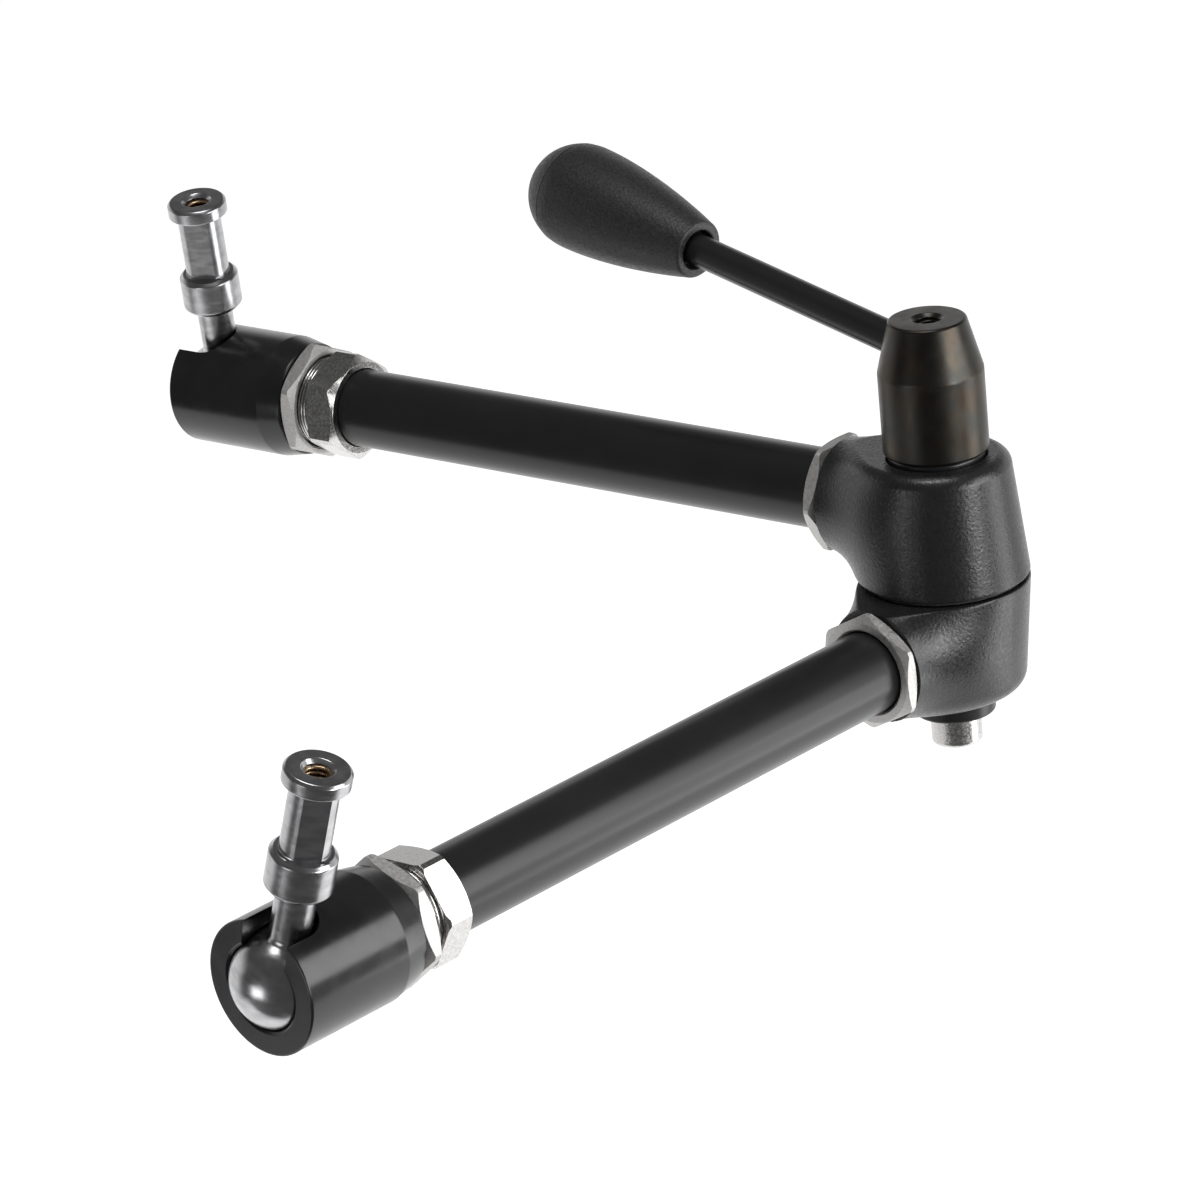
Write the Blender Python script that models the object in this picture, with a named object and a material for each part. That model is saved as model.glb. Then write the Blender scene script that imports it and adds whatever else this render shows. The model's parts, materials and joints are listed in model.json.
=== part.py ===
"""Articulating friction arm with a lever lock.

Two equal arms meet at a two-part cast elbow. Each arm ends in a ball socket
that holds a 16 mm spigot on a ball. Turning the lever draws two cones into
the elbow, which push a rod out through each tube against its ball, and clamp
the castings together, so that all three joints lock at once.

The origin is the middle of the lower spigot's groove, where a clamp holds the
arm. +Z is up, along the elbow's axis, and the arms open towards -X.
"""
import math

import bmesh
import bpy
from mathutils import Matrix, Vector
from mathutils.geometry import interpolate_bezier

MM = 0.001
UP = Vector((0.0, 0.0, 1.0))

# General sizes
GAP = 0.3 * MM                  # working gap between neighbouring pieces
SIDES = 24                      # facets round a turned piece
FINE_SIDES = 36                 # facets round the elbow, the sockets and the tubes
WELD = 1e-7
SWIVEL_PLAY = 0.1 * MM          # extra play of a spindle in a bore

# How the arm stands: angles at rest
HALF_ANGLE = math.radians(42.2)         # each arm from the -X axis
SLOT_ROLL = math.radians(14.5)          # slot centre, from straight up round the arm
UPPER_STUD_ROLL = math.radians(8.3)
LOWER_STUD_ROLL = math.radians(17.3)
UPPER_STUD_LEAN = math.radians(4.4)     # back towards the elbow
LOWER_STUD_LEAN = math.radians(3.4)
UPPER_FLATS_TURN = math.radians(117.0)
LOWER_FLATS_TURN = math.radians(53.0)
LEVER_HEADING = math.radians(127.0)
LEVER_RISE = math.radians(8.6)

# Arms, measured from the elbow's axis
ARM_REACH = 236.4 * MM          # elbow axis to ball centre
UPPER_ARM_HEIGHT = 17.15 * MM
LOWER_ARM_DEPTH = 15.4 * MM
TUBE_RADIUS = 10.45 * MM
TUBE_WALL = 2.5 * MM
TUBE_SEAT = 20.0 * MM           # inner end of the tube in its casting

# Elbow castings
SEAM_RADIUS = 21.5 * MM
CASTING_DRAFT = 0.1             # radius lost for each unit of height
SEAM_CHAMFER = 0.6 * MM
UPPER_CASTING_HEIGHT = 31.9 * MM
LOWER_CASTING_HEIGHT = 30.5 * MM
UPPER_DECK_ROUNDING = 3.2 * MM
LOWER_DECK_ROUNDING = 5.0 * MM
BOSS_RADIUS = 14.2 * MM
BOSS_FACE = 28.7 * MM           # flat face that the locknut sits on
BOSS_BLEND = 14.0 * MM          # size of the fillet between boss and body
CASTING_FLOOR = 6.5 * MM        # wall left at the seam
SPRING_PASSAGE = 7.6 * MM       # radius of the hole through that wall

# Friction washer in the seam
WASHER_THICKNESS = 0.4 * MM
WASHER_INSET = 1.1 * MM         # how far the washer stays inside the seam edge
SEAM_OPENING = WASHER_THICKNESS + 2.0 * GAP

# Cones, spindle and return spring
CONE_RADIUS_AT_ROD = 8.0 * MM   # cone radius level with the push rod
CONE_SLOPE = 0.5                # radius gained for each unit along the axis
CONE_NOSE_LENGTH = 5.7 * MM     # cone left beyond the push rod's axis
UPPER_COLLAR_RADIUS = 12.3 * MM
LOWER_COLLAR_RADIUS = 10.4 * MM
LOWER_COLLAR_SHOWN = 5.6 * MM
HUB_CLEARANCE_OVER_DECK = 1.5 * MM
SPINDLE_RADIUS = 4.0 * MM
SPINDLE_HEAD_RADIUS = 6.5 * MM
SPINDLE_HEAD_LENGTH = 8.1 * MM
SPINDLE_THREAD_IN_HUB = 18.6 * MM
CLAMP_TRAVEL = 0.5 * MM         # each cone's travel as the lever locks
SPRING_WIRE_RADIUS = 0.9 * MM
SPRING_COIL_RADIUS = 6.2 * MM
SPRING_TURNS = 4.5

# Push rods and pressure cups
PUSH_ROD_RADIUS = 4.0 * MM
CUP_RADIUS = 8.0 * MM
CUP_BACK = 21.0 * MM            # behind the ball centre
CUP_BALL_GAP = 0.6 * MM         # unlocked
CUP_SOCKET_DEPTH = 3.3 * MM     # recess that takes the rod's end

# Ball sockets, stations measured from the ball centre along the arm
BALL_RADIUS = 12.0 * MM
SOCKET_RADIUS = 16.5 * MM
SOCKET_MOUTH = 6.7 * MM         # mouth face ahead of the ball centre
SOCKET_BACK = 31.4 * MM
SOCKET_BACK_RADIUS = 15.1 * MM
SOCKET_TAPER = 24.4 * MM        # taper starts this far behind the ball centre
SLOT_WIDTH = 14.0 * MM
SLOT_END = 0.5 * MM             # centre of the slot's round end, behind the ball centre

# Nuts and end fittings
JAM_NUT_FLATS = 29.0 * MM
JAM_NUT_CORNERS = 16.4 * MM
JAM_NUT_THICKNESS = 4.5 * MM
THREAD_SHOWN = 3.4 * MM
SHANK_RADIUS = 12.3 * MM
SHANK_END = 14.5 * MM           # behind the ball centre
FITTING_FLATS = 26.0 * MM
FITTING_CORNERS = 14.6 * MM
FITTING_HEX_LENGTH = 8.8 * MM
FITTING_TUBE_DEPTH = 15.5 * MM
LOCKNUT_FLATS = 27.0 * MM
LOCKNUT_CORNERS = 15.2 * MM
LOCKNUT_THICKNESS = 3.7 * MM
UPPER_FITTING_TURN = math.radians(54.0)
LOWER_FITTING_TURN = math.radians(27.0)
UPPER_JAM_NUT_TURN = math.radians(4.0)
LOWER_JAM_NUT_TURN = math.radians(47.0)
UPPER_LOCKNUT_TURN = math.radians(31.0)
LOWER_LOCKNUT_TURN = math.radians(1.5)

# Spigots on their balls, heights measured from the ball centre
NECK_RADIUS = 4.8 * MM
SPIGOT_RADIUS = 8.0 * MM
COLLAR_BOTTOM = 24.6 * MM
COLLAR_TOP = 35.2 * MM
COLLAR_CHAMFER = 1.1 * MM
GROOVE_RADIUS = 5.85 * MM
FLANGE_BOTTOM = 53.0 * MM
FLANGE_TOP = 56.8 * MM
FLANGE_CHAMFER = 0.7 * MM
WRENCH_FLATS = 9.8 * MM
FLATS_MARGIN = 0.6 * MM         # left below the flange
FLATS_LEDGE = 0.3 * MM          # cut into the collar's top
TAPPED_RADIUS = 2.6 * MM
TAPPED_MOUTH_RADIUS = 4.05 * MM
TAPPED_DEPTH = 12.0 * MM

# Lever hub, rod and grip
HUB_RADIUS = 13.35 * MM
HUB_HEIGHT = 34.4 * MM
HUB_CONE_HEIGHT = 13.3 * MM
HUB_TOP_RADIUS = 9.85 * MM
HUB_EDGE = 0.6 * MM
HUB_TAPPED_DEPTH = 10.0 * MM
LEVER_ROD_RADIUS = 4.15 * MM
LEVER_ROD_START = 4.6 * MM      # inner end, from the elbow's axis
LEVER_ROD_DROP = 9.8 * MM       # rod axis meets the elbow's axis this far below the hub's top
GRIP_START = 83.4 * MM
GRIP_RADIUS = 14.15 * MM
GRIP_WIDEST = 127.0 * MM
GRIP_END = 142.8 * MM
GRIP_BASE_RADIUS = 7.85 * MM
GRIP_BASE_ROUNDING = 1.1 * MM
GRIP_FLARE = 0.275              # radius gained for each unit along, at the base
GRIP_FLARE_LENGTH = 8.9 * MM
GRIP_SHOULDER_LENGTH = 15.0 * MM
GRIP_MOUTH_RADIUS = 5.2 * MM
GRIP_MOUTH_DEPTH = 4.0 * MM
GRIP_BORE_DEPTH = 22.0 * MM

# Sizes that follow
HUB_BOTTOM = UPPER_CASTING_HEIGHT + HUB_CLEARANCE_OVER_DECK
HUB_TOP = HUB_BOTTOM + HUB_HEIGHT
LOWER_SEAM = -SEAM_OPENING
LOWER_DECK = LOWER_SEAM - LOWER_CASTING_HEIGHT
LOWER_ARM_HEIGHT = -LOWER_ARM_DEPTH
TUBE_BORE = TUBE_RADIUS + GAP
SHANK_BORE = SHANK_RADIUS + GAP
JAM_NUT_FRONT = SOCKET_BACK + GAP
FITTING_HEX_FRONT = JAM_NUT_FRONT + JAM_NUT_THICKNESS + THREAD_SHOWN
FITTING_BACK = FITTING_HEX_FRONT + FITTING_HEX_LENGTH
TUBE_END = ARM_REACH - FITTING_BACK + FITTING_TUBE_DEPTH - GAP
CLAMP_HEIGHT = 0.5 * (COLLAR_TOP + FLANGE_BOTTOM)

BLACK_CASTING = ("black_casting", (0.018, 0.018, 0.019), 0.55, 0.0)
BLACK_TUBE = ("black_tube", (0.014, 0.014, 0.015), 0.38, 0.0)
BLACK_SOCKET = ("black_socket", (0.016, 0.016, 0.017), 0.30, 0.3)
BLACK_PLASTIC = ("black_plastic", (0.022, 0.022, 0.023), 0.50, 0.0)
NICKEL = ("nickel", (0.62, 0.61, 0.59), 0.28, 1.0)
TURNED_STEEL = ("turned_steel", (0.50, 0.50, 0.51), 0.22, 1.0)
BLACKENED_STEEL = ("blackened_steel", (0.075, 0.058, 0.045), 0.25, 1.0)
HIDDEN_STEEL = ("hidden_steel", (0.40, 0.40, 0.41), 0.40, 1.0)
WASHER_FIBRE = ("washer_fibre", (0.05, 0.045, 0.04), 0.80, 0.0)


def surface(finish):
    """One Principled material for each finish, shared by its pieces."""
    name, colour, roughness, metallic = finish
    material = bpy.data.materials.get(name)
    if material is None:
        material = bpy.data.materials.new(name)
        material.use_nodes = True
        shader = material.node_tree.nodes["Principled BSDF"]
        shader.inputs["Base Color"].default_value = (*colour, 1.0)
        shader.inputs["Roughness"].default_value = roughness
        shader.inputs["Metallic"].default_value = metallic
    return material


def pivot(name, frame, parent=None, parent_frame=None):
    """An empty at a joint; frame is its matrix from the elbow's own frame."""
    empty = bpy.data.objects.new(name, None)
    bpy.context.scene.collection.objects.link(empty)
    empty.parent = parent
    empty.matrix_local = parent_frame.inverted() @ frame if parent else frame
    return empty


def add(name, mesh, finish, parent, station=0.0, turn=0.0):
    """Link a bmesh as an object that sits at a station on its parent's Z axis."""
    bmesh.ops.recalc_face_normals(mesh, faces=mesh.faces)
    data = bpy.data.meshes.new(name)
    mesh.to_mesh(data)
    mesh.free()
    obj = bpy.data.objects.new(name, data)
    bpy.context.scene.collection.objects.link(obj)
    obj.parent = parent
    obj.location = (0.0, 0.0, station)
    obj.rotation_euler = (0.0, 0.0, turn)
    if finish:
        data.materials.append(surface(finish))
        data.shade_smooth()
        data.set_sharp_from_angle(angle=math.radians(28.0))
    return obj


def shape(obj, cutter, operation="DIFFERENCE"):
    """Cut or trim an object with another, which is left out of the part."""
    modifier = obj.modifiers.new(cutter.name, "BOOLEAN")
    modifier.operation = operation
    modifier.solver = "EXACT"
    modifier.object = cutter
    cutter.hide_render = True
    cutter.display_type = "WIRE"


def turned_mesh(profile, sides):
    """Turn (radius, station) points about Z. A profile off the axis is closed."""
    mesh = bmesh.new()
    points = [mesh.verts.new((radius, 0.0, station)) for radius, station in profile]
    edges = [mesh.edges.new(pair) for pair in zip(points, points[1:])]
    if profile[0][0] > WELD or profile[-1][0] > WELD:
        edges.append(mesh.edges.new((points[-1], points[0])))
    bmesh.ops.spin(mesh, geom=points + edges, cent=(0.0, 0.0, 0.0), axis=UP,
                   angle=2.0 * math.pi, steps=sides, use_merge=True)
    bmesh.ops.remove_doubles(mesh, verts=mesh.verts, dist=WELD)
    return mesh


def turned(name, profile, finish, parent, station=0.0, turn=0.0, sides=SIDES):
    return add(name, turned_mesh(profile, sides), finish, parent, station, turn)


def arc(radius, start, end, steps, centre=(0.0, 0.0)):
    """Profile points on an arc, as (radius, station); 0 degrees is straight out."""
    points = []
    for step in range(steps + 1):
        angle = math.radians(start + (end - start) * step / steps)
        points.append((centre[0] + radius * math.cos(angle),
                       centre[1] + radius * math.sin(angle)))
    return points


def bezier(start, start_handle, end_handle, end, steps):
    """Profile points on a Bezier curve."""
    corners = [Vector(point) for point in (start, start_handle, end_handle, end)]
    return [tuple(point) for point in interpolate_bezier(*corners, steps + 1)]


def prism_mesh(outline, start, end):
    """Extrude an outline in the YZ plane along X."""
    mesh = bmesh.new()
    base = mesh.faces.new([mesh.verts.new((start, y, z)) for y, z in outline])
    moved = bmesh.ops.extrude_face_region(mesh, geom=[base])["geom"]
    corners = [item for item in moved if isinstance(item, bmesh.types.BMVert)]
    bmesh.ops.translate(mesh, verts=corners, vec=(end - start, 0.0, 0.0))
    return mesh


def hex_flats(name, across_flats, back, front, parent, station, turn):
    """A ring with a hexagonal hole that mills the flats of a nut."""
    corner = 0.5 * across_flats / math.cos(math.radians(30.0))
    outer = 2.0 * corner
    profile = [(corner, back), (outer, back), (outer, front), (corner, front)]
    return turned(name, profile, None, parent, station, turn, sides=6)


def nut(name, across_flats, corners, thickness, bore, parent, station, turn):
    """A thin hexagon nut, chamfered on both faces, its back at the station."""
    flat = 0.5 * across_flats
    drop = (corners - flat) * math.tan(math.radians(30.0))
    bevel = 0.4 * MM
    profile = [(bore + bevel, 0.0), (flat, 0.0), (corners, drop), (corners, thickness - drop),
               (flat, thickness), (bore + bevel, thickness), (bore, thickness - bevel),
               (bore, bevel)]
    body = turned(name, profile, NICKEL, parent, station, turn)
    flats = hex_flats(name + "_flats", across_flats, -MM, thickness + MM, parent, station, turn)
    shape(body, flats)
    return body


def blended(first, second, size):
    """Join two distances with a smooth fillet."""
    overlap = max(size - abs(first - second), 0.0) / size
    return min(first, second) - 0.25 * size * overlap * overlap


def casting_levels(height, rounding, boss_height):
    """Heights of the casting's rings, closer where its form turns."""
    boss_low = boss_height - BOSS_RADIUS
    levels = [0.0, SEAM_CHAMFER]
    levels += [boss_low + step * MM for step in (-0.8, 0.1, 1.2, 4.0)]
    shoulder = height - rounding
    spacing = 4.2 * MM
    count = int((shoulder - boss_low - 4.0 * MM) / spacing)
    levels += [shoulder - spacing * step for step in range(count)]
    levels += [shoulder + rounding * math.sin(math.radians(22.5 * step)) for step in range(1, 5)]
    levels = sorted(level for level in levels if level >= 0.0)
    kept = [levels[0]]
    for level in levels[1:]:
        if level - kept[-1] > 0.12 * MM:
            kept.append(level)
    return kept


def casting_mesh(height, rounding, boss_height, side):
    """A drafted round body with a boss along +X, run together with a fillet.

    Each ring is found by going out from the axis to the blended surface.
    """
    shoulder = height - rounding
    boss_cut = BOSS_FACE + 4.0 * MM

    def distance(reach, angle, level):
        inset = 0.0
        if level < SEAM_CHAMFER:
            inset = SEAM_CHAMFER - level
        if level > shoulder:
            rise = min(level - shoulder, rounding)
            inset = rounding - math.sqrt(rounding ** 2 - rise ** 2)
        along = reach * math.cos(angle)
        across = reach * math.sin(angle)
        body = reach - (SEAM_RADIUS - CASTING_DRAFT * level) + inset
        behind = min(along - BOSS_RADIUS, 0.0)
        boss = math.hypot(across, level - boss_height, behind) - BOSS_RADIUS
        return blended(body, boss, BOSS_BLEND)

    def reach_at(angle, level):
        inner = 0.2 * SEAM_RADIUS
        outer = 2.0 * SEAM_RADIUS
        if math.cos(angle) > 0.1:
            outer = min(outer, boss_cut / math.cos(angle))
        if distance(outer, angle, level) < 0.0:
            return outer
        for _ in range(40):
            middle = 0.5 * (inner + outer)
            if distance(middle, angle, level) < 0.0:
                inner = middle
            else:
                outer = middle
        return inner

    mesh = bmesh.new()
    rings = []
    for level in casting_levels(height, rounding, boss_height):
        ring = []
        for step in range(FINE_SIDES):
            angle = 2.0 * math.pi * step / FINE_SIDES
            reach = reach_at(angle, level)
            ring.append(mesh.verts.new((reach * math.cos(angle), reach * math.sin(angle),
                                        side * level)))
        rings.append(ring)
    for low, high in zip(rings, rings[1:]):
        for step in range(FINE_SIDES):
            after = (step + 1) % FINE_SIDES
            mesh.faces.new((low[step], low[after], high[after], high[step]))
    mesh.faces.new(rings[0])
    mesh.faces.new(rings[-1])
    return mesh


def casting(name, seam, height, rounding, side, upright, arm, collar_radius):
    """One elbow casting with its boss face, tube seat, cone bore and rod hole."""
    boss_height = abs(arm.location.z - seam)
    body = add(name, casting_mesh(height, rounding, boss_height, side), BLACK_CASTING,
               upright, seam)
    floor = side * CASTING_FLOOR
    top = side * (height + 5.0 * MM)
    cone_bore = [(0.0, -side * MM), (SPRING_PASSAGE, -side * MM), (SPRING_PASSAGE, floor),
                 (collar_radius + GAP, floor), (collar_radius + GAP, top), (0.0, top)]
    shape(body, turned(name + "_cone_bore", cone_bore, None, upright, seam))
    beyond = 3.0 * SEAM_RADIUS
    rod_bore = PUSH_ROD_RADIUS + GAP + SWIVEL_PLAY
    seat = TUBE_SEAT - GAP
    bore_and_face = [(0.0, 0.0), (rod_bore, 0.0), (rod_bore, seat), (TUBE_BORE, seat),
                     (TUBE_BORE, BOSS_FACE), (beyond, BOSS_FACE), (beyond, beyond), (0.0, beyond)]
    shape(body, turned(name + "_bore_and_face", bore_and_face, None, arm))
    return body


def wedge(name, collar_radius, collar_end, rod_height, side, parent):
    """A collar with a cone that spreads the push rods, bored for the spindle."""
    bore = SPINDLE_RADIUS + GAP
    nose = rod_height - side * CONE_NOSE_LENGTH
    nose_radius = CONE_RADIUS_AT_ROD - CONE_SLOPE * CONE_NOSE_LENGTH
    shoulder = rod_height + side * (collar_radius - CONE_RADIUS_AT_ROD) / CONE_SLOPE
    edge = 0.5 * MM
    profile = [(bore, nose), (nose_radius, nose), (collar_radius, shoulder),
               (collar_radius, collar_end - side * edge), (collar_radius - edge, collar_end),
               (bore, collar_end)]
    return turned(name, profile, BLACKENED_STEEL, parent)


def coil(name, start, end, parent):
    """A compression spring: one wire wound round the spindle, with flat cut ends."""
    curve = bpy.data.curves.new(name, "CURVE")
    curve.dimensions = "3D"
    curve.bevel_depth = SPRING_WIRE_RADIUS
    curve.bevel_resolution = 0
    curve.use_fill_caps = True
    steps = int(SPRING_TURNS * 10)
    wire = curve.splines.new("POLY")
    wire.points.add(steps)
    low = start + SPRING_WIRE_RADIUS
    high = end - SPRING_WIRE_RADIUS
    for step in range(steps + 1):
        angle = 2.0 * math.pi * SPRING_TURNS * step / steps
        height = low + (high - low) * step / steps
        wire.points[step].co = (SPRING_COIL_RADIUS * math.cos(angle),
                                SPRING_COIL_RADIUS * math.sin(angle), height, 1.0)
    curve.materials.append(surface(HIDDEN_STEEL))
    obj = bpy.data.objects.new(name, curve)
    bpy.context.scene.collection.objects.link(obj)
    obj.parent = parent
    return obj


def elbow_pieces(elbow):
    """Washer, cones, spring and spindle on the elbow's axis."""
    inner = SPRING_PASSAGE + GAP
    outer = SEAM_RADIUS - WASHER_INSET
    top = -GAP
    bottom = top - WASHER_THICKNESS
    turned("friction_washer", [(inner, bottom), (outer, bottom), (outer, top), (inner, top)],
           WASHER_FIBRE, elbow)
    lower_collar_end = LOWER_DECK - LOWER_COLLAR_SHOWN
    wedge("upper_wedge", UPPER_COLLAR_RADIUS, HUB_BOTTOM - GAP, UPPER_ARM_HEIGHT, 1, elbow)
    wedge("lower_wedge", LOWER_COLLAR_RADIUS, lower_collar_end, LOWER_ARM_HEIGHT, -1, elbow)
    coil("return_spring", LOWER_ARM_HEIGHT + CONE_NOSE_LENGTH + GAP,
         UPPER_ARM_HEIGHT - CONE_NOSE_LENGTH - GAP, elbow)
    head_top = lower_collar_end - GAP
    head_bottom = head_top - SPINDLE_HEAD_LENGTH
    edge = 0.8 * MM
    profile = [(0.0, head_bottom), (SPINDLE_HEAD_RADIUS - edge, head_bottom),
               (SPINDLE_HEAD_RADIUS, head_bottom + edge), (SPINDLE_HEAD_RADIUS, head_top),
               (SPINDLE_RADIUS, head_top),
               (SPINDLE_RADIUS, HUB_BOTTOM + SPINDLE_THREAD_IN_HUB - edge),
               (SPINDLE_RADIUS - edge, HUB_BOTTOM + SPINDLE_THREAD_IN_HUB),
               (0.0, HUB_BOTTOM + SPINDLE_THREAD_IN_HUB)]
    turned("spindle", profile, NICKEL, elbow)


def lever_pieces(lever, rod_frame):
    """Cone-topped hub, rod and egg-shaped grip."""
    cone_start = HUB_TOP - HUB_CONE_HEIGHT
    bore = SPINDLE_RADIUS + GAP
    bore_top = HUB_BOTTOM + SPINDLE_THREAD_IN_HUB + 2.0 * CLAMP_TRAVEL + GAP
    tapped_bottom = HUB_TOP - HUB_TAPPED_DEPTH
    mouth = TAPPED_MOUTH_RADIUS - TAPPED_RADIUS
    profile = [(0.0, tapped_bottom - 1.2 * MM), (TAPPED_RADIUS, tapped_bottom),
               (TAPPED_RADIUS, HUB_TOP - mouth), (TAPPED_MOUTH_RADIUS, HUB_TOP),
               (HUB_TOP_RADIUS - HUB_EDGE, HUB_TOP), (HUB_TOP_RADIUS, HUB_TOP - HUB_EDGE),
               (HUB_RADIUS, cone_start), (HUB_RADIUS, HUB_BOTTOM + HUB_EDGE),
               (HUB_RADIUS - HUB_EDGE, HUB_BOTTOM), (bore + HUB_EDGE, HUB_BOTTOM),
               (bore, HUB_BOTTOM + HUB_EDGE), (bore, bore_top), (0.0, bore_top + 1.0 * MM)]
    hub = turned("lever_hub", profile, BLACKENED_STEEL, lever, sides=FINE_SIDES)
    hole = LEVER_ROD_RADIUS + GAP
    start = LEVER_ROD_START - GAP
    beyond = 3.0 * HUB_RADIUS
    hole_profile = [(0.0, start), (hole, start), (hole, beyond), (0.0, beyond)]
    shape(hub, turned("lever_hub_rod_hole", hole_profile, None, rod_frame))

    rod_end = GRIP_START + GRIP_BORE_DEPTH - GAP
    rod = [(0.0, LEVER_ROD_START), (LEVER_ROD_RADIUS, LEVER_ROD_START),
           (LEVER_ROD_RADIUS, rod_end), (0.0, rod_end)]
    turned("lever_rod", rod, BLACK_TUBE, rod_frame)

    bore_end = GRIP_START + GRIP_BORE_DEPTH
    profile = [(0.0, bore_end), (hole, bore_end), (hole, GRIP_START + GRIP_MOUTH_DEPTH),
               (GRIP_MOUTH_RADIUS, GRIP_START + GRIP_MOUTH_DEPTH), (GRIP_MOUTH_RADIUS, GRIP_START)]
    base = GRIP_START + GRIP_BASE_ROUNDING
    profile += arc(GRIP_BASE_ROUNDING, -90.0, -30.0, 2, (GRIP_BASE_RADIUS - GRIP_BASE_ROUNDING, base))
    profile += bezier((GRIP_BASE_RADIUS, base),
                      (GRIP_BASE_RADIUS + GRIP_FLARE * GRIP_FLARE_LENGTH, base + GRIP_FLARE_LENGTH),
                      (GRIP_RADIUS, GRIP_WIDEST - GRIP_SHOULDER_LENGTH),
                      (GRIP_RADIUS, GRIP_WIDEST), 9)
    for step in range(1, 7):
        angle = math.radians(15.0 * step)
        profile.append((GRIP_RADIUS * math.cos(angle),
                        GRIP_WIDEST + (GRIP_END - GRIP_WIDEST) * math.sin(angle)))
    profile[-1] = (0.0, GRIP_END)
    turned("lever_grip", profile, BLACK_PLASTIC, rod_frame)


def push_rod(name, parent):
    """A rod with a round nose on the cone and its far end in the pressure cup."""
    flank = PUSH_ROD_RADIUS + GAP
    nose = CONE_RADIUS_AT_ROD + flank * math.hypot(1.0, CONE_SLOPE)
    end = ARM_REACH - CUP_BACK + CUP_SOCKET_DEPTH - GAP
    profile = arc(PUSH_ROD_RADIUS, -90.0, 0.0, 4, (0.0, nose))
    profile += [(PUSH_ROD_RADIUS, end), (0.0, end)]
    turned(name, profile, HIDDEN_STEEL, parent, sides=16)


def pressure_cup(name, parent):
    """A plug with a hollow face that bears on the ball."""
    hollow = BALL_RADIUS + CUP_BALL_GAP
    rim = math.degrees(math.asin(math.sqrt(1.0 - (CUP_RADIUS / hollow) ** 2)))
    recess = PUSH_ROD_RADIUS + GAP
    profile = [(0.0, CUP_SOCKET_DEPTH - CUP_BACK), (recess, CUP_SOCKET_DEPTH - CUP_BACK),
               (recess, -CUP_BACK), (CUP_RADIUS, -CUP_BACK)]
    profile += arc(hollow, -rim, -90.0, 5)
    turned(name, profile, HIDDEN_STEEL, parent, ARM_REACH, sides=20)


def ball_socket(name, parent):
    """A barrel with a spherical seat, a round mouth and a slot for the neck."""
    seat = BALL_RADIUS + GAP
    lip = math.degrees(math.asin(SOCKET_MOUTH / seat))
    edge = 0.5 * MM
    profile = [(SHANK_BORE + edge, -SOCKET_BACK), (SOCKET_BACK_RADIUS - edge, -SOCKET_BACK),
               (SOCKET_BACK_RADIUS, edge - SOCKET_BACK), (SOCKET_RADIUS, -SOCKET_TAPER),
               (SOCKET_RADIUS, SOCKET_MOUTH - edge), (SOCKET_RADIUS - edge, SOCKET_MOUTH)]
    profile += arc(seat, lip, 0.0, 4)
    profile += [(SHANK_BORE, -GAP), (SHANK_BORE, edge - SOCKET_BACK)]
    barrel = turned(name, profile, BLACK_SOCKET, parent, ARM_REACH, sides=FINE_SIDES)
    half = 0.5 * SLOT_WIDTH
    outline = [(y, z - SLOT_END) for y, z in arc(half, 0.0, -180.0, 10)]
    outline += [(-half, 3.0 * SOCKET_MOUTH), (half, 3.0 * SOCKET_MOUTH)]
    slot = add(name + "_slot", prism_mesh(outline, 0.0, 2.0 * SOCKET_RADIUS), None, parent,
               ARM_REACH, -SLOT_ROLL)
    shape(barrel, slot)


def end_fitting(name, turn, parent):
    """A hexagon with a hollow threaded shank; the tube seats in its back."""
    flat = 0.5 * FITTING_FLATS
    drop = (FITTING_CORNERS - flat) * math.tan(math.radians(35.0)) + 0.3 * MM
    edge = 0.6 * MM
    guide = CUP_RADIUS + GAP
    shoulder = FITTING_TUBE_DEPTH - FITTING_BACK
    profile = [(TUBE_BORE, -FITTING_BACK), (flat - edge, -FITTING_BACK),
               (FITTING_CORNERS, drop - FITTING_BACK), (FITTING_CORNERS, -FITTING_HEX_FRONT - edge),
               (FITTING_CORNERS - edge, -FITTING_HEX_FRONT), (SHANK_RADIUS, -FITTING_HEX_FRONT),
               (SHANK_RADIUS, -SHANK_END - edge), (SHANK_RADIUS - edge, -SHANK_END),
               (guide, -SHANK_END), (guide, shoulder), (TUBE_BORE, shoulder)]
    body = turned(name, profile, NICKEL, parent, ARM_REACH, -turn)
    flats = hex_flats(name + "_flats", FITTING_FLATS, -FITTING_BACK - MM, -FITTING_HEX_FRONT + GAP,
                      parent, ARM_REACH, -turn)
    shape(body, flats)


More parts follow.
